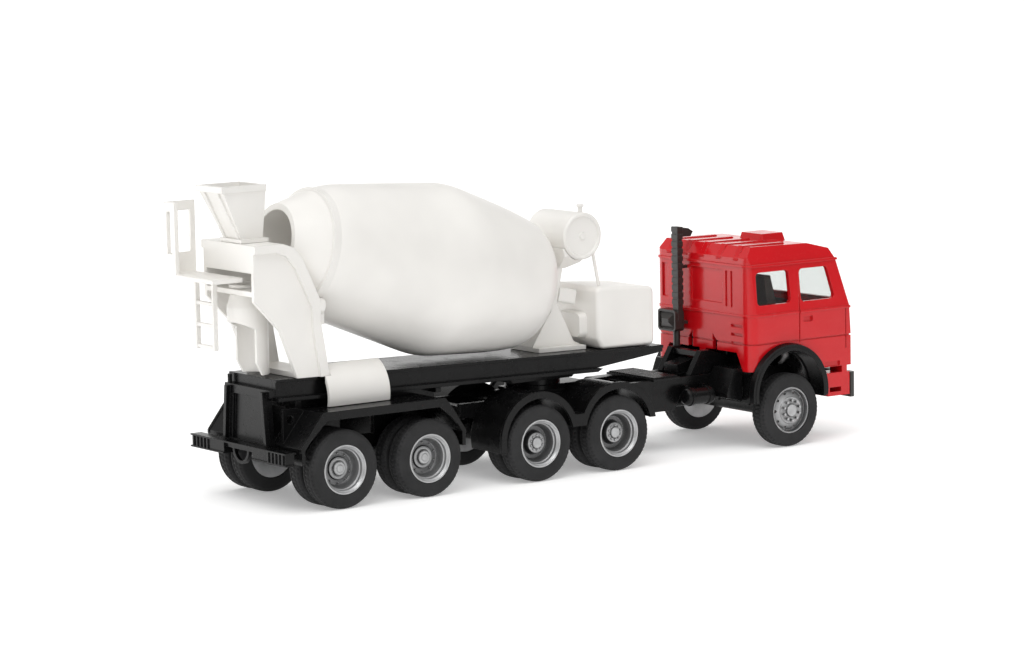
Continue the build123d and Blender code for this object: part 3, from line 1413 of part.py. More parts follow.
# ---------------------------------------------------------------- hopper and platform
hopper_rear_x = platform_rear_x + 2.2
hopper_front_x = hopper_rear_x + 8.1
hopper_half_width = 3.8
hopper_wall = 0.6
hopper_high_z = mouth_z + 9.6
hopper_low_z = mouth_z + 0.55 + seat_clearance
spout_x = mouth_x - 5.2


def funnel(inset, low_z, high_z):
    """Slanted funnel between two rectangles, its walls moved in by the inset."""
    length = hopper_front_x - hopper_rear_x
    with BuildPart() as shell:
        with BuildSketch(Plane.XY.offset(low_z)):
            with Locations((spout_x, 0)):
                Rectangle(3.6 - 2 * inset, 5.0 - 2 * inset)
        with BuildSketch(Plane.XY.offset(high_z)):
            with Locations((hopper_rear_x + length / 2, 0)):
                Rectangle(length - 2 * inset, 2 * (hopper_half_width - inset))
        loft()
    return shell.part


with BuildPart() as hopper:
    add(funnel(0.0, hopper_low_z, hopper_high_z))
    # rim around the mouth
    rim_x = (hopper_front_x + hopper_rear_x) / 2
    with Locations((rim_x, 0, hopper_high_z - 0.5)):
        Box(hopper_front_x - hopper_rear_x, 2 * hopper_half_width + 0.2, 1.0)
    # seat on the pedestal's head
    with Locations((spout_x, 0, hopper_low_z + 0.3)):
        Box(5.0, 6.4, 0.6)
    add(funnel(hopper_wall, hopper_low_z - 0.01, hopper_high_z + 0.01), mode=Mode.SUBTRACT)
    # stiffening ribs down the rear slope
    for y in (-2.0, 2.0):
        with BuildSketch(side_face(y)):
            polygon([
                (hopper_rear_x + 0.1, hopper_high_z - 0.9),
                (hopper_rear_x + 1.0, hopper_high_z - 0.9),
                (spout_x - 1.7, hopper_low_z + 0.6),
                (spout_x - 2.4, hopper_low_z + 0.6),
            ])
        extrude(amount=0.3, both=True)

platform_z = mouth_z - 4.9
platform_front_x = mouth_x - 8.2 - seat_clearance
platform_left_y = 10.2
platform_right_y = -4.2
panel_height = 11.6
with BuildPart() as platform:
    platform_length = platform_front_x - platform_rear_x
    platform_width = platform_left_y - platform_right_y
    middle_y = (platform_left_y + platform_right_y) / 2
    with Locations(((platform_front_x + platform_rear_x) / 2, middle_y, platform_z)):
        Box(platform_length, platform_width, 0.7)
    # tread slots
    with BuildSketch(Plane.XY.offset(platform_z - 1)):
        with Locations(((platform_front_x + platform_rear_x) / 2, middle_y)):
            with GridLocations(0, 1.5, 1, 8):
                Rectangle(platform_length - 1.4, 0.6)
    extrude(amount=2, mode=Mode.SUBTRACT)
    # guard panels at the rear left corner
    with Locations((platform_rear_x + 0.3, platform_left_y - 1.7, platform_z + panel_height / 2)):
        Box(0.6, 3.4, panel_height)
    with Locations((platform_rear_x + 0.3, platform_left_y - 1.7, platform_z + panel_height / 2 + 1.0)):
        Box(2.0, 1.4, panel_height - 5.0, mode=Mode.SUBTRACT)
    with Locations(((platform_front_x + platform_rear_x) / 2, platform_left_y - 0.3, platform_z + panel_height / 2)):
        Box(platform_length, 0.6, panel_height)
    with Locations(((platform_front_x + platform_rear_x) / 2, platform_left_y - 0.3, platform_z + panel_height / 2 + 1.0)):
        Box(platform_length - 1.6, 2.0, panel_height - 5.0, mode=Mode.SUBTRACT)

ladder_x = mouth_x - 10.2
ladder_y = 3.8
ladder_half_width = 2.6
ladder_length = 11.0
rung_pitch = 3.4
with BuildPart() as ladder:
    ladder_top_z = platform_z - 0.35 - seat_clearance
    for y in (ladder_y + ladder_half_width, ladder_y - ladder_half_width):
        with Locations((ladder_x, y, ladder_top_z - ladder_length / 2)):
            Box(0.7, 0.6, ladder_length)
    for i in range(4):
        with Locations((ladder_x, ladder_y, ladder_top_z - 0.35 - i * rung_pitch)):
            Box(0.6, 2 * ladder_half_width, 0.55)

# ---------------------------------------------------------------- chutes
trough_radius = 3.2
trough_wall = 0.6
trough_low_z = deck_rear_z + 0.35
neck_low_z = swivel_z - 0.2
cone_low_z = swivel_z - 2.2
with BuildPart() as discharge_chute:
    # rim that hangs on the shelf, and the neck through it
    with BuildSketch(Plane.XY.offset(swivel_z + shelf_thickness + seat_clearance)):
        with Locations((chute_x, 0)):
            Circle(swivel_radius + 0.5)
    extrude(amount=0.5)
    with BuildSketch(Plane.XY.offset(neck_low_z)):
        with Locations((chute_x, 0)):
            Circle(swivel_radius)
    extrude(amount=swivel_z + shelf_thickness + seat_clearance - neck_low_z + 0.1)
    # cone widening to the trough
    with BuildSketch(Plane.XY.offset(neck_low_z)):
        with Locations((chute_x, 0)):
            Circle(swivel_radius + 0.3)
    with BuildSketch(Plane.XY.offset(cone_low_z)):
        with Locations((chute_x, 0)):
            Circle(trough_radius)
    loft()
    # half-round trough, open to the rear, its foot cut aslant
    with BuildSketch(Plane.XY.offset(trough_low_z)):
        with Locations((chute_x, 0)):
            Circle(trough_radius)
    extrude(amount=cone_low_z - trough_low_z)
    with BuildSketch(Plane.XY.offset(trough_low_z - 1)):
        with Locations((chute_x, 0)):
            Circle(trough_radius - trough_wall)
    extrude(amount=cone_low_z - trough_low_z + 1, mode=Mode.SUBTRACT)
    with BuildSketch(Plane.XY.offset(cone_low_z)):
        with Locations((chute_x, 0)):
            Circle(trough_radius - trough_wall)
    with BuildSketch(Plane.XY.offset(neck_low_z)):
        with Locations((chute_x, 0)):
            Circle(swivel_radius - trough_wall)
    loft(mode=Mode.SUBTRACT)
    with BuildSketch(Plane.XY.offset(neck_low_z)):
        with Locations((chute_x, 0)):
            Circle(swivel_radius - trough_wall)
    extrude(amount=4, mode=Mode.SUBTRACT)
    with BuildSketch(side_face(0)):
        polygon([
            (chute_x - trough_radius - 1, trough_low_z - 1),
            (chute_x + 1.2, trough_low_z - 1),
            (chute_x - 0.4, trough_low_z + 2.0),
            (chute_x - 0.4, cone_low_z - 3.4),
            (chute_x - trough_radius - 1, cone_low_z - 1.6),
        ])
    extrude(amount=trough_radius + 1, both=True, mode=Mode.SUBTRACT)

spare_length = 11.4
spare_front_x = deck_rear_x + 19.7
spare_radius = 5.6
spare_wall = 0.6
with BuildPart() as spare_chute:
    # round shell laid over the right-hand rail
    with BuildSketch(Plane.YZ.offset(spare_front_x - spare_length)) as shell_arc:
        with Locations((-flange_half_width + spare_radius - 1.1 - spare_wall, deck_rear_z - 3.5)):
            Circle(spare_radius)
            Circle(spare_radius - spare_wall, mode=Mode.SUBTRACT)
        with Locations((0, deck_rear_z - 3.0)):
            Rectangle(2 * deck_half_width - 1.4, 30, mode=Mode.SUBTRACT)
        with Locations((6, deck_rear_z - 3.0)):
            Rectangle(16, 30, mode=Mode.SUBTRACT)
        with Locations((-flange_half_width, fender_z + 0.1 - 5)):
            Rectangle(20, 10, mode=Mode.SUBTRACT)
    extrude(amount=spare_length)
    # notch round the foot of the rear pedestal
    foot_y = bell_plate_y + bell_wall + flange_rise + 0.1
    foot_x = bell_line[0][0] + 0.1
    with Locations((foot_x - 5, -foot_y / 2, deck_rear_z)):
        Box(10, foot_y, 20, mode=Mode.SUBTRACT)

# ---------------------------------------------------------------- export
assembly = {
    "front_tyres": front_tyres,
    "front_rims": front_rims,
    "front_axle_rod": front_axle_rod,
    "drive_1_tyres": drive_1_tyres,
    "drive_1_rims": drive_1_rims,
    "drive_1_axle_rod": drive_1_axle_rod,
    "drive_2_tyres": drive_2_tyres,
    "drive_2_rims": drive_2_rims,
    "drive_2_axle_rod": drive_2_axle_rod,
    "trailer_1_tyres": trailer_1_tyres,
    "trailer_1_rims": trailer_1_rims,
    "trailer_1_axle_rod": trailer_1_axle_rod,
    "trailer_2_tyres": trailer_2_tyres,
    "trailer_2_rims": trailer_2_rims,
    "trailer_2_axle_rod": trailer_2_axle_rod,
    "cab_shell": cab_shell,
    "cab_glazing": cab_glazing,
    "cab_interior": cab_interior,
    "steering_wheel": steering_wheel,
    "air_snorkel": air_snorkel,
    "tractor_frame": tractor_frame,
    "engine_block": engine_block,
    "catwalk": catwalk,
    "side_tanks": side_tanks,
    "side_steps": side_steps,
    "front_mudguards": front_mudguards,
    "front_bumper": front_bumper,
    "fifth_wheel": fifth_wheel,
    "rear_mudguards": rear_mudguards,
    "trailer_frame": trailer_frame,
    "kingpin_plate": kingpin_plate,
    "trailer_running_gear": trailer_running_gear,
    "trailer_fenders": trailer_fenders,
    "rear_bulkhead": rear_bulkhead,
    "rear_light_bar": rear_light_bar,
    "drum": drum,
    "drum_drive": drum_drive,
    "front_pedestal": front_pedestal,
    "engine_housing": engine_housing,
    "water_tank": water_tank,
    "rear_pedestal": rear_pedestal,
    "hopper": hopper,
    "platform": platform,
    "ladder": ladder,
    "discharge_chute": discharge_chute,
    "spare_chute": spare_chute,
}
for name, piece in assembly.items():
    piece.part.label = name
    export_step(piece.part, f"parts/{name}.step")
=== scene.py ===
"""Looks of a 1:87 scale model of an articulated concrete mixer.

The moulded pieces keep their shapes and get their finishes here; the tyres, the
drum's shell and a few small fittings are finer surfaces worked out below.
Lengths are metres, +X points forward, +Y to the left and +Z up.
"""

import json
import math

import bmesh
import bpy
import numpy as np
from mathutils import Matrix, Vector


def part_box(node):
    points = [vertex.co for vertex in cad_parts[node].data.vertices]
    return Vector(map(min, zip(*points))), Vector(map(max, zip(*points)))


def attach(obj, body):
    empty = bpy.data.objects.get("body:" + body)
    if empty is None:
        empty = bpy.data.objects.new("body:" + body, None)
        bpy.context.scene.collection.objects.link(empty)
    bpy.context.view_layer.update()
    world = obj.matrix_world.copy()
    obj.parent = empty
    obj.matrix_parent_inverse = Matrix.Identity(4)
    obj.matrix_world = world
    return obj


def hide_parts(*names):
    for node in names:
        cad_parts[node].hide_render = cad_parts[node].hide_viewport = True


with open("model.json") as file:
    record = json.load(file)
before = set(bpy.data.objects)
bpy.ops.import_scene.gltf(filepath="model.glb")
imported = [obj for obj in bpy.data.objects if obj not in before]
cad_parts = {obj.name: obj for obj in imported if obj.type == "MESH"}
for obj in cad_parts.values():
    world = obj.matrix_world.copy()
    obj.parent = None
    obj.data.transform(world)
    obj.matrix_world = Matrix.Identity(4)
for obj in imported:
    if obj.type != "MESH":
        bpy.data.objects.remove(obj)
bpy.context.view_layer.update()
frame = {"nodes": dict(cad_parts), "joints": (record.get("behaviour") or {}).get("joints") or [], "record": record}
nodes = frame["nodes"]
MM = 0.001


# ---------------------------------------------------------------- expressions
class Value:
    """A number that varies over a surface; each operator adds its Math node."""

    def __init__(self, finish, socket):
        self.finish = finish
        self.socket = socket

    def _math(self, operation, *operands):
        return self.finish.node("ShaderNodeMath", {"operation": operation}, *operands)

    def __add__(self, other):
        return self._math("ADD", self, other)

    def __radd__(self, other):
        return self._math("ADD", other, self)

    def __sub__(self, other):
        return self._math("SUBTRACT", self, other)

    def __rsub__(self, other):
        return self._math("SUBTRACT", other, self)

    def __mul__(self, other):
        return self._math("MULTIPLY", self, other)

    def __rmul__(self, other):
        return self._math("MULTIPLY", other, self)

    def smallest(self, other):
        return self._math("MINIMUM", self, other)

    def largest(self, other):
        return self._math("MAXIMUM", self, other)

    def step(self, low, high):
        """0 below low, 1 above high, with a smooth rise between."""
        settings = {"interpolation_type": "SMOOTHSTEP"}
        return self.finish.node("ShaderNodeMapRange", settings, self, low, high, 0.0, 1.0)


class Finish:
    """A material or a world under construction."""

    def __init__(self, owner, output="ShaderNodeOutputMaterial"):
        self.owner = owner
        owner.use_nodes = True
        self.tree = owner.node_tree
        self.tree.nodes.clear()
        self.output = self.tree.nodes.new(output)

    def node(self, kind, settings=None, *inputs, out=0, **named):
        """Adds a node: its settings first, then its sockets by order or by name."""
        node = self.tree.nodes.new(kind)
        for key, setting in (settings or {}).items():
            setattr(node, key, setting)
        for index, value in enumerate(inputs):
            self.feed(node.inputs[index], value)
        for key, value in named.items():
            self.feed(node.inputs[key.replace("_", " ")], value)
        return Value(self, node.outputs[out])

    def feed(self, socket, value):
        """Links a varying value to a socket, or sets the socket to a constant."""
        if isinstance(value, Value):
            self.tree.links.new(value.socket, socket)
        elif value is not None:
            socket.default_value = value

    def place(self):
        """Where a point of the piece is, in metres."""
        return self.node("ShaderNodeTexCoord", {}, out="Object")

    def apart(self, vector):
        """The three parts of a vector."""
        split = self.tree.nodes.new("ShaderNodeSeparateXYZ")
        self.feed(split.inputs[0], vector)
        return [Value(self, output) for output in split.outputs]

    def noise(self, per_metre, detail=3.0, roughness=0.55, place=None):
        """Cloudy noise between 0 and 1."""
        settings = {"noise_dimensions": "3D"}
        where = place or self.place()
        return self.node(
            "ShaderNodeTexNoise", settings, Vector=where, Scale=per_metre,
            Detail=detail, Roughness=roughness,
        )

    def mix(self, mask, low, high):
        """Colour low where the mask is 0 and high where it is 1."""
        node = self.tree.nodes.new("ShaderNodeMix")
        node.data_type = "RGBA"
        self.feed(node.inputs[0], mask)
        self.feed(node.inputs[6], low)
        self.feed(node.inputs[7], high)
        return Value(self, node.outputs[2])

    def edge(self, radius):
        """Rounded normal, and a mask that is 1 on edges and 0 on open faces."""
        rounded = self.node("ShaderNodeBevel", {"samples": 4}, radius)
        true = self.node("ShaderNodeNewGeometry", {}, out="Normal")
        along = self.node(
            "ShaderNodeVectorMath", {"operation": "DOT_PRODUCT"}, rounded, true, out="Value",
        )
        return rounded, (1.0 - along).step(0.004, 0.12)

    def bump(self, height, distance, normal=None):
        """A normal raised by the height, which spans the distance in metres."""
        return self.node(
            "ShaderNodeBump", {}, Height=height, Distance=distance, Strength=1.0, Normal=normal,
        )

    def surface(self, constants, **varying):
        """The finish's own shader; constants are set on its sockets by name."""
        shader = self.tree.nodes.new("ShaderNodeBsdfPrincipled")
        for key, value in constants.items():
            shader.inputs[key].default_value = value
        for key, value in varying.items():
            self.feed(shader.inputs[key.replace("_", " ")], value)
        self.tree.links.new(shader.outputs[0], self.output.inputs[0])
        return self.owner


def new_finish(name):
    return Finish(bpy.data.materials.new(name))


# ---------------------------------------------------------------- finishes
def moulded(name, colour, worn, gloss, wear=0.35, orange_peel=0.006, **constants):
    """Injection-moulded plastic: a slow drift of tone, paler rounded edges,
    faint flow lines, rubbed patches in the gloss and a fine orange peel."""
    f = new_finish(name)
    rounded, edges = f.edge(0.14 * MM)
    drift = f.noise(90, 2.0)
    speckle = f.noise(2600, 4.0)
    flow = f.node(
        "ShaderNodeTexWave", {"bands_direction": "Z"}, Vector=f.place(), Scale=160.0,
        Distortion=7.0, Detail=3.0, Detail_Scale=2.0,
    )
    tone = f.mix(drift.step(0.25, 0.75), [c * 0.93 for c in colour] + [1], [*colour, 1])
    tone = f.mix(flow * speckle.step(0.4, 0.8) * 0.06, tone, [*worn, 1])
    tone = f.mix(edges * (0.35 + 0.65 * speckle) * wear, tone, [*worn, 1])
    rubbed = f.noise(420, 5.0, 0.7).step(0.45, 0.75)
    roughness = gloss + 0.10 * rubbed + 0.05 * (drift - 0.5) + 0.08 * edges
    peel = f.noise(1500, 2.0)
    grain = f.noise(9000, 2.0)
    normal = f.bump(peel + 0.15 * grain, orange_peel * MM, rounded)
    return f.surface(constants, Base_Color=tone, Roughness=roughness, Normal=normal)


def rubber(name):
    """Tyre compound: matt, faintly ringed by the mould, dusty where it rolls."""
    f = new_finish(name)
    rounded, edges = f.edge(0.08 * MM)
    cloud = f.noise(260, 4.0)
    dust = f.noise(3200, 5.0, 0.7)
    tone = f.mix(cloud.step(0.3, 0.7), [0.011, 0.011, 0.0115, 1], [0.020, 0.020, 0.021, 1])
    dusty = edges * dust * 0.6 + dust.step(0.62, 0.85) * 0.25
    tone = f.mix(dusty, tone, [0.075, 0.072, 0.068, 1])
    roughness = 0.62 + 0.16 * dust - 0.10 * edges
    normal = f.bump(dust + 0.4 * cloud, 0.02 * MM, rounded)
    return f.surface(
        {"Specular IOR Level": 0.4}, Base_Color=tone, Roughness=roughness, Normal=normal,
    )


def silver_paint(name):
    """Sprayed silver over plastic: fine flakes, thin on the edges, and painted shade that darkens the wells."""
    f = new_finish(name)
    rounded, edges = f.edge(0.10 * MM)
    flakes = f.node(
        "ShaderNodeTexVoronoi", {"feature": "F1"}, Vector=f.place(), Scale=16000.0, out="Distance",
    )
    cloud = f.noise(700, 3.0)
    open_sky = f.node("ShaderNodeAmbientOcclusion", {"samples": 8}, Distance=2.2 * MM, out="AO")
    tone = f.mix(cloud.step(0.3, 0.7), [0.41, 0.415, 0.42, 1], [0.52, 0.525, 0.53, 1])
    tone = f.mix(flakes.step(0.2, 0.7) * 0.30, tone, [0.62, 0.62, 0.63, 1])
    # painted shade: the colour goes nearly black where ambient occlusion finds the rim's wells closed in
    painted_well_shade = ((1.0 - open_sky) * 1.45).smallest(1.0)
    tone = f.mix(painted_well_shade, tone, [0.03, 0.03, 0.031, 1])
    tone = f.mix(edges * cloud * 0.7, tone, [0.78, 0.78, 0.78, 1])
    roughness = 0.32 + 0.14 * flakes - 0.06 * edges
    metallic = 0.62 + 0.2 * cloud
    normal = f.bump(flakes + cloud, 0.008 * MM, rounded)
    return f.surface({}, Base_Color=tone, Roughness=roughness, Metallic=metallic, Normal=normal)


def drawn_wire(name):
    """Steel wire with drawing lines along it."""
    f = new_finish(name)
    x, y, z = f.apart(f.place())
    rings = f.noise(5200, 3.0, place=f.node("ShaderNodeCombineXYZ", {}, x, y * 0.04, z))
    tone = f.mix(rings, [0.46, 0.455, 0.45, 1], [0.66, 0.655, 0.65, 1])
    normal = f.bump(rings, 0.01 * MM)
    return f.surface(
        {}, Base_Color=tone, Metallic=0.9 + 0.1 * rings, Roughness=0.24 + 0.2 * rings,
        Normal=normal,
    )


def clear_plastic(name):
    """Clear moulded pane: faint waves, small scuffs and a brighter cut edge."""
    f = new_finish(name)
    rounded, edges = f.edge(0.10 * MM)
    waves = f.noise(180, 2.0)
    scuffs = f.noise(2400, 6.0, 0.75).step(0.66, 0.82)
    tone = f.mix(edges, [0.86, 0.88, 0.87, 1], [0.70, 0.76, 0.75, 1])
    roughness = 0.02 + 0.10 * scuffs + 0.10 * edges
    normal = f.bump(waves, 0.02 * MM, rounded)
    return f.surface(
        {"Transmission Weight": 1.0, "IOR": 1.46},
        Base_Color=tone, Roughness=roughness, Normal=normal,
    )


finishes = {
    "tyre": rubber("tyre rubber"),
    "rim": silver_paint("silver rim paint"),
    "rod": drawn_wire("axle wire"),
    "red_plastic": moulded(
        "red cab plastic", (0.62, 0.004, 0.009), (0.80, 0.09, 0.08), 0.15,
        wear=0.25, orange_peel=0.004,
        **{"Specular IOR Level": 0.45},
    ),
    "clear_plastic": clear_plastic("clear glazing plastic"),
    "brown_plastic": moulded(
        "brown interior plastic", (0.060, 0.040, 0.034), (0.16, 0.12, 0.10), 0.48,
    ),
    "grey_plastic": moulded(
        "grey intake plastic", (0.026, 0.023, 0.021), (0.11, 0.10, 0.095), 0.36,
    ),
    "black_plastic": moulded(
        "black chassis plastic", (0.004, 0.004, 0.0042), (0.045, 0.045, 0.047), 0.24,
        wear=0.22, orange_peel=0.003,
        **{"Specular IOR Level": 0.22},
    ),
    "white_plastic": moulded(
        "white mixer plastic", (0.905, 0.887, 0.853), (0.91, 0.895, 0.87), 0.32, wear=0.5,
    ),
}
slot_of = {s["node"]: s["material_slot"] for s in frame["record"]["subparts"]}
node_body = {
    node: body
    for body, members in frame["record"]["behaviour"]["bodies"].items()
    for node in members
}
joint_place = {joint["name"]: joint["pos_m"] for joint in frame["joints"]}
for name, carried in nodes.items():
    carried.data.materials.clear()
    carried.data.materials.append(finishes[slot_of[name]])


# ---------------------------------------------------------------- surfaces
def lattice(rows, columns, round_rows, round_columns):
    """Quads joining a grid of points, going round in either direction."""
    i = np.arange(rows if round_rows else rows - 1)[:, None]
    j = np.arange(columns if round_columns else columns - 1)[None, :]
    k = (i + 1) % rows
    m = (j + 1) % columns
    corners = [i * columns + j, k * columns + j, k * columns + m, i * columns + m]
    return np.stack([np.broadcast_to(c, (i.size, j.size)) for c in corners], -1).reshape(-1, 4)


def weld(mesh):
    """Joins points that coincide, which closes seams and poles."""
    welded = bmesh.new()
    welded.from_mesh(mesh)
    bmesh.ops.remove_doubles(welded, verts=welded.verts, dist=0.001 * MM)
    bmesh.ops.dissolve_degenerate(welded, edges=welded.edges, dist=0.0005 * MM)
    welded.to_mesh(mesh)
    welded.free()


def show(name, mesh, slot, body, replaced, crease):
    """Puts a finished mesh in the scene; edges steeper than crease stay sharp."""
    mesh.polygons.foreach_set("use_smooth", np.ones(len(mesh.polygons), bool))
    mesh.set_sharp_from_angle(angle=math.radians(crease))
    mesh.update()
    made = bpy.data.objects.new(name, mesh)
    bpy.context.scene.collection.objects.link(made)
    mesh.materials.clear()
    mesh.materials.append(finishes[slot])
    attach(made, body)
    if replaced:
        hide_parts(replaced)


def piece(name, shells, slot, body, replaced=None, crease=32):
    """One object from (points, faces) shells; points are metres in the shared frame."""
    points = np.concatenate([p.reshape(-1, 3) for p, _ in shells])
    starts = np.cumsum([0] + [p.reshape(-1, 3).shape[0] for p, _ in shells[:-1]])
    faces = np.concatenate([q + s for (_, q), s in zip(shells, starts)])
    mesh = bpy.data.meshes.new(name)
    mesh.from_pydata(points.tolist(), [], faces.tolist())
    weld(mesh)
    show(name, mesh, slot, body, replaced, crease)


def triangle_wave(turns):
    """Rises from -1 to 1 and falls back once per whole turn."""
    return 4 * np.abs((turns % 1.0) - 0.5) - 1


# ---------------------------------------------------------------- tyres
TREAD_BLOCKS = 52
STEPS_PER_BLOCK = 5
ACROSS_POWER = 0.42
OUT_POWER = 0.40
GROOVES = ((-0.34, 0.0), (0.34, 0.5))  # place across and lag in blocks
TREAD_DEPTH = 0.22 * MM
BEAD_RADIUS = 3.98 * MM
SINGLE_WIDTH = 3.5 * MM
TWIN_WIDTH = 3.1 * MM
TWIN_GAP = 0.8 * MM


def tyre(centre, middle_y, width, radius):
    """A ring swept round the axle.  Its section is a rounded box: across it goes as
    half the width times the cosine to the power 0.42, and out from the bead to the
    tread as the sine to the power 0.40.  Two zigzag grooves run round the tread,
    and notches are cut into both shoulders once per block."""
    around = np.arange(TREAD_BLOCKS * STEPS_PER_BLOCK) / (TREAD_BLOCKS * STEPS_PER_BLOCK)
    side = np.linspace(0.0, 0.30, 13)
    crown = np.linspace(0.30, 0.70, 27)[1:-1]
    share = np.concatenate([side, crown, 1 - side[::-1]])
    cosine = np.cos(np.pi * share)
    across = np.sign(cosine) * np.abs(cosine) ** ACROSS_POWER
    out = np.abs(np.sin(np.pi * share)) ** OUT_POWER
    turn, across = np.meshgrid(around, across, indexing="ij")
    out = np.broadcast_to(out, turn.shape)
    block = turn * TREAD_BLOCKS
    grooves = np.zeros_like(turn)
    for line, lag in GROOVES:
        wander = line + 0.07 * triangle_wave(block + lag)
        grooves += np.clip(1.6 - np.abs(across - wander) / 0.06, 0, 1)
    notch = np.clip(1.5 - np.abs((block % 1.0) - 0.5) / 0.16, 0, 1)
    shoulder = np.clip((np.abs(across) - 0.66) / 0.08, 0, 1) * np.clip((out - 0.86) / 0.05, 0, 1)
    cut = np.clip(grooves * (np.abs(across) < 0.6) + notch * shoulder, 0, 1)
    reach = BEAD_RADIUS + (radius - BEAD_RADIUS) * out - TREAD_DEPTH * cut
    dip, ridge = (0.012 * np.exp(-(((out - place) / 0.03) ** 2)) for place in (0.55, 0.74))
    swell = 1 - dip + ridge
    angle = 2 * np.pi * turn
    points = np.stack([
        centre.x + reach * np.cos(angle),
        middle_y + across * swell * width / 2 * 0.985,
        centre.z + reach * np.sin(angle),
    ], -1)
    return points, lattice(*turn.shape, True, True)


def tyres(node, body, width, lines):
    """The tyres of one axle on both sides; lines says how many stand side by side."""
    low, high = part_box(node)
    centre = (low + high) / 2
    radius = (high.z - low.z) / 2
    shells = []
    for way in (1, -1):
        outer = way * (high.y - width / 2)
        for line in range(lines):
            shells.append(tyre(centre, outer - way * line * (width + TWIN_GAP), width, radius))
    piece(node.replace("_tyres", "") + "_tyre_set", shells, "tyre", body, node, 60)


tyres("front_tyres", "front_axle", SINGLE_WIDTH, 1)
for axle, body in (
    ("drive_1", "drive_axle_1"),
    ("drive_2", "drive_axle_2"),
    ("trailer_1", "trailer_axle_1"),
    ("trailer_2", "trailer_axle_2"),
):
    tyres(axle + "_tyres", body, TWIN_WIDTH, 2)

# ---------------------------------------------------------------- rear rims
# outlines of (distance outwards from the rim's face, radius) in millimetres
WELL = [
    (-2.6, 0.0), (-2.6, 0.62), (-6.9, 0.62), (-6.9, 3.85), (-6.8, 3.95), (-0.15, 3.95),
    (-0.04, 3.88), (-0.04, 3.68), (-0.30, 3.52), (-0.42, 3.36), (-0.85, 3.30), (-0.98, 3.12),
    (-1.70, 2.98), (-2.25, 2.82), (-2.45, 2.62), (-2.45, 2.05),
]
TRAILER_HUB = [
    (-2.38, 1.86), (-2.05, 1.74), (-1.98, 1.60), (-1.98, 1.30), (-2.05, 1.18), (-1.72, 1.08),
    (-1.62, 0.96), (-1.62, 0.62), (-1.50, 0.52), (-1.50, 0.0),
]
DRIVE_HUB = [
    (-2.30, 1.88), (-1.55, 1.72), (-1.36, 1.62), (-1.30, 1.42), (-1.30, 0.98), (-1.02, 0.86),
    (-0.92, 0.70), (-0.92, 0.0),
]
STUD = [(-0.3, 0.0), (-0.3, 0.17), (0.12, 0.17), (0.17, 0.13), (0.22, 0.09), (0.24, 0.0)]
STUD_COUNT = 10
RIM_STEPS = 96
STUD_STEPS = 12


def across_axle(centre, place, way, section, steps):
    """Turns (y, radius) points in millimetres about a line square to the side of
    the model; y is counted outwards from the place, to the left where way is 1."""
    angle = 2 * np.pi * np.arange(steps)[:, None] / steps
    y, radius = np.array(section).T * MM
    points = np.stack([
        centre[0] + radius * np.cos(angle),
        np.broadcast_to(way * (place + y), (steps, len(section))),
        centre[1] + radius * np.sin(angle),
    ], -1)
    faces = lattice(steps, len(section), True, False)
    return points, faces if way < 0 else faces[:, ::-1]


def rims(node, body, hub, stud_place, ring):
    """Both dished rims of an axle, with studs on a ring round the hub; the place of
    the studs and the ring's radius are millimetres, counted as in the outlines."""
    low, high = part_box(node)
    centre = ((low.x + high.x) / 2, (low.z + high.z) / 2)
    face = high.y + 0.1 * MM
    shells = []
    for way in (1, -1):
        shells.append(across_axle(centre, face, way, WELL + hub, RIM_STEPS))
        for turn in 2 * np.pi * (np.arange(STUD_COUNT) + 0.5) / STUD_COUNT:
            x = centre[0] + ring * math.cos(turn) * MM
            z = centre[1] + ring * math.sin(turn) * MM
            shells.append(across_axle((x, z), face + stud_place * MM, way, STUD, STUD_STEPS))
    piece(node.replace("_rims", "") + "_rim_set", shells, "rim", body, node)


for axle in ("drive_1", "drive_2"):
    rims(axle + "_rims", "drive_axle_" + axle[-1], DRIVE_HUB, -1.30, 1.20)
for axle in ("trailer_1", "trailer_2"):
    rims(axle + "_rims", "trailer_axle_" + axle[-1], TRAILER_HUB, -2.45, 2.32)

# ---------------------------------------------------------------- drum
DRUM_TILT = math.radians(12.6)
DRUM_STEPS = 288
drum_front = np.array(joint_place["drum_spin"])
drum_back = np.array([-math.cos(DRUM_TILT), 0.0, math.sin(DRUM_TILT)])
drum_up = np.array([math.sin(DRUM_TILT), 0.0, math.cos(DRUM_TILT)])


def turned(section, steps):
    """Carries (along, radius) points round the drum's axis.  A point lies at the
    drum's front, plus its distance along the axis, plus its radius turned by the
    angle from straight up towards the left."""
    angle = 2 * np.pi * np.arange(steps)[:, None] / steps
    along, radius = section.T
    points = (
        drum_front
        + along[None, :, None] * drum_back
        + (radius * np.cos(angle))[..., None] * drum_up
        + (radius * np.sin(angle))[..., None] * np.array([0.0, 1.0, 0.0])
    )
    return points, lattice(steps, len(section), True, False)


def eased(corners, window, spacing):
    """A polyline resampled at an even spacing, each point then averaged with its
    neighbours over a window, which rounds the corners and keeps the ends."""
    corners = np.array(corners)
    leg = np.r_[0, np.cumsum(np.hypot(*np.diff(corners, axis=0).T))]
    reach = np.arange(0, leg[-1], spacing)
    line = np.stack([np.interp(reach, leg, corners[:, k]) for k in (0, 1)], -1)
    half = int(window / spacing / 2)
    first = 2 * line[0] - line[half:0:-1]
    last = 2 * line[-1] - line[-2 : -half - 2 : -1]
    padded = np.concatenate([first, line, last])
    kernel = np.hanning(2 * half + 3)[1:-1]
    kernel /= kernel.sum()
    soft = np.stack([np.convolve(padded[:, k], kernel, "valid") for k in (0, 1)], -1)
    return np.concatenate([soft, corners[-1:]])


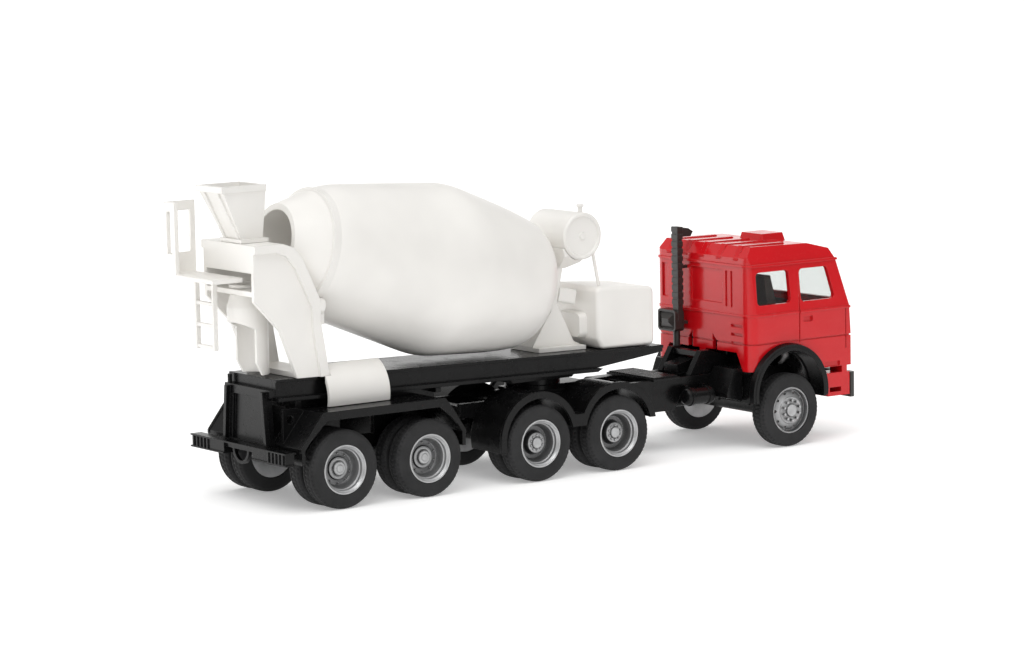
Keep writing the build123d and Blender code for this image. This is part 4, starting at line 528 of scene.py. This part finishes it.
# outlines of (distance along the axis from the front, radius) in millimetres
HUB = [(0.0, 0.0), (0.0, 3.3), (0.1, 3.5)]
BELLY = [(1.2, 4.85), (5.4, 10.5), (12.0, 12.1), (24.0, 14.2), (46.0, 10.5), (54.0, 6.2)]
RING = [(47.58, 9.62), (47.66, 9.64), (47.8, 9.6), (48.7, 9.6), (48.78, 9.54), (48.8, 9.0)]
MOUTH = [(54.0, 6.1), (54.0, 5.3), (53.9, 5.2), (47.0, 5.2), (46.6, 4.9), (45.5, 0.0)]
belly = eased(BELLY, window=7.0, spacing=0.5)
before_ring = belly[belly[:, 0] < 47.5]
after_ring = belly[belly[:, 0] > 48.9]
drum_section = np.concatenate([HUB, before_ring, RING, after_ring, MOUTH]) * MM
piece("drum_shell", [turned(drum_section, DRUM_STEPS)], "white_plastic", "drum", "drum")

# ---------------------------------------------------------------- headlamp lenses
LENS_STEPS = 48
LENS_RADIUS = 0.84 * MM
LENS_RISE = 0.12 * MM
FLUTES = 26


def lens(centre):
    """A fluted round lens facing forward: its height falls off as one less the
    square of the share of the radius, with a small cosine ripple across.  The
    last two rounds are its flat back."""
    share = np.append(np.linspace(0, 1, 10), [1, 0])
    angle = 2 * np.pi * np.arange(LENS_STEPS) / LENS_STEPS
    turn, out = np.meshgrid(angle, share, indexing="ij")
    across = out * np.cos(turn)
    height = LENS_RISE * (1 - out**2) * (1 + 0.06 * np.cos(across * FLUTES))
    height[:, -2:] = -LENS_RISE
    points = np.stack([
        centre[0] + height,
        centre[1] + LENS_RADIUS * across,
        centre[2] + LENS_RADIUS * out * np.sin(turn),
    ], -1)
    return points, lattice(*turn.shape, True, False)[:, ::-1]


lamp_low, lamp_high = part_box("front_bumper")
lamp_front = lamp_high.x - 0.15 * MM
lamp_middle = (lamp_low.z + lamp_high.z) / 2
lenses = [lens((lamp_front, y * MM, lamp_middle)) for y in (9.6, 7.0, -7.0, -9.6)]
piece("headlamp_lenses", lenses, "clear_plastic", "tractor")

# ---------------------------------------------------------------- reshaped mouldings
def moulding(node, name, slot, reshape=None):
    """A welded copy of a tractor or trailer piece that stands for it; reshape, if
    given, moves its points and gets them as an array of metres."""
    mesh = nodes[node].data.copy()
    if mesh.has_custom_normals:
        mesh.attributes.remove(mesh.attributes["custom_normal"])
    weld(mesh)
    if reshape:
        points = np.empty(len(mesh.vertices) * 3)
        mesh.vertices.foreach_get("co", points)
        mesh.vertices.foreach_set("co", reshape(points.reshape(-1, 3)).ravel())
        weld(mesh)
    show(name, mesh, slot, node_body[node], node, 28)


def plain_sides(points):
    """Fills the shallow louvres of the engine's housing up to its side faces."""
    _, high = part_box("engine_housing")
    side = 6.2 * MM
    x, y, z = points.T
    slot = (np.abs(y) > 5.9 * MM) & (np.abs(y) < 6.15 * MM)
    slot &= (x > high.x - 5.4 * MM) & (x < high.x - 1.4 * MM)
    slot &= (z > high.z - 7.5 * MM) & (z < high.z - 2.8 * MM)
    points[slot, 1] = np.sign(y[slot]) * side
    return points


def forward_seats(points):
    """Slides both seats forward, so that their backs stand in the rear side windows."""
    low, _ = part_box("cab_interior")
    x, y, z = points.T
    seat = (np.abs(y) > 3.0 * MM) & (np.abs(y) < 8.5 * MM) & (z > low.z + 1.0 * MM)
    seat &= (x > low.x + 1.2 * MM) & (x < low.x + 9.6 * MM)
    points[seat, 0] += 3.6 * MM
    return points


moulding("front_bumper", "bumper_moulding", "grey_plastic")
moulding("engine_housing", "housing_cover", "white_plastic", plain_sides)
moulding("cab_interior", "cab_trim", "brown_plastic", forward_seats)

# ---------------------------------------------------------------- wheel arch liners
ARCH_RADIUS = 7.3
ARCH_RISE = 2.95
ARCH_STEPS = 60
front_hub = joint_place["front_axle_roll"]


def arch_liner(way):
    """Half-round shell over a front wheel, between the mudguard and the frame.
    It is a flat ring section with a thicker bead at the outer end, carried along
    an arc; the thickness runs out to nothing at both ends of the arc."""
    angle = np.radians(np.linspace(-4, 184, ARCH_STEPS))[:, None]
    across = np.array([3.0, 3.3, 9.2, 9.5, 10.1, 10.1, 9.5, 9.2, 3.3, 3.0])[None, :]
    lift = np.array([-0.14, -0.16, -0.16, -0.3, -0.3, 0.06, 0.1, 0.1, 0.1, 0.08])[None, :]
    fade = np.clip((np.radians(94) - np.abs(angle - np.pi / 2)) / 0.06, 0, 1)
    reach = ARCH_RADIUS + lift * fade
    points = np.stack([
        front_hub[0] + (0.2 + reach * np.cos(angle)) * MM,
        np.broadcast_to(way * across * MM, reach.shape),
        front_hub[2] + (ARCH_RISE + reach * np.sin(angle)) * MM,
    ], -1)
    faces = lattice(*reach.shape, False, True)
    return points, faces if way > 0 else faces[:, ::-1]


piece("arch_liners", [arch_liner(1), arch_liner(-1)], "black_plastic", "tractor")

# ---------------------------------------------------------------- camera and light
CAMERA_PLACE = (-0.3504, -0.4830, 0.0996)
sight = math.radians(-35.80)
dip = math.radians(7.41)
roll = math.radians(-1.05)
ahead = Vector((
    -math.sin(sight) * math.cos(dip), math.cos(sight) * math.cos(dip), -math.sin(dip),
))
right = Vector((math.cos(sight), math.sin(sight), 0))
above = right.cross(ahead)
tilted_right = math.cos(roll) * right + math.sin(roll) * above
tilted_up = math.cos(roll) * above - math.sin(roll) * right
camera_data = bpy.data.cameras.new("camera")
camera_data.sensor_width = 36
camera_data.lens = 128.39
camera_data.clip_start = 0.01
camera = bpy.data.objects.new("camera", camera_data)
turned_to = Matrix((tilted_right, tilted_up, -ahead)).transposed().to_4x4()
camera.matrix_world = Matrix.Translation(CAMERA_PLACE) @ turned_to
bpy.context.scene.collection.objects.link(camera)
bpy.context.scene.camera = camera

world = bpy.data.worlds.new("studio")
bpy.context.scene.world = world
sky = Finish(world, "ShaderNodeOutputWorld")
_, depth, height = sky.apart(sky.node("ShaderNodeTexCoord", {}, out="Generated"))
behind = depth.step(-0.35, 0.45)
low = 1.0 - height.step(0.12, 0.40)
ceiling = height.step(0.35, 0.80)
seen = sky.node("ShaderNodeLightPath", {}, out="Is Camera Ray").largest(
    sky.node("ShaderNodeLightPath", {}, out="Is Transmission Ray")
)
lit = 0.26 + 0.95 * behind * low + 0.80 * ceiling
warm_white = (1.0, 0.995, 0.985, 1)
glow = sky.node("ShaderNodeBackground", {}, warm_white, seen + (1.0 - seen) * lit)
sky.tree.links.new(glow.socket, sky.output.inputs[0])


def lamp(name, strength, angle, towards):
    """A soft far lamp shining along a direction."""
    data = bpy.data.lights.new(name, "SUN")
    data.energy = strength
    data.angle = math.radians(angle)
    made = bpy.data.objects.new(name, data)
    made.rotation_euler = Vector(towards).to_track_quat("-Z", "Y").to_euler()
    bpy.context.scene.collection.objects.link(made)


lamp("key", 0.75, 40, (0.45, 0.35, -0.85))
lamp("side", 0.55, 60, (0.25, 0.90, -0.15))

bpy.context.scene.view_settings.view_transform = "Standard"

# ---------------------------------------------------------------- floor
paper = new_finish("paper floor")
fibres = paper.noise(900, 4.0)
sheet = paper.mix(fibres, (0.90, 0.90, 0.90, 1), (0.93, 0.93, 0.93, 1))
camera_ray = paper.node("ShaderNodeLightPath", {}, out="Is Camera Ray")
length, depth, _ = paper.apart(paper.place())
near = depth.step(-0.26, -0.15)
far = (depth - length).step(0.12, 0.35)
paleness = paper.mix(near.largest(camera_ray), (0.3, 0.3, 0.3, 1), sheet)
matt = paper.node("ShaderNodeBsdfDiffuse", {}, paleness)
glowing = camera_ray * 0.3 + (1.0 - camera_ray) * (near * 0.28 + far * 0.8)
lift = paper.node("ShaderNodeEmission", {}, (1, 1, 1, 1), glowing)
both = paper.node("ShaderNodeAddShader", {}, matt, lift)
paper.tree.links.new(both.socket, paper.output.inputs[0])
floor_mesh = bpy.data.meshes.new("floor")
corners = [(-9, -9, 0), (9, -9, 0), (9, 9, 0), (-9, 9, 0)]
floor_mesh.from_pydata(corners, [], [(0, 1, 2, 3)])
floor_mesh.materials.append(paper.owner)
floor = bpy.data.objects.new("floor", floor_mesh)
bpy.context.scene.collection.objects.link(floor)
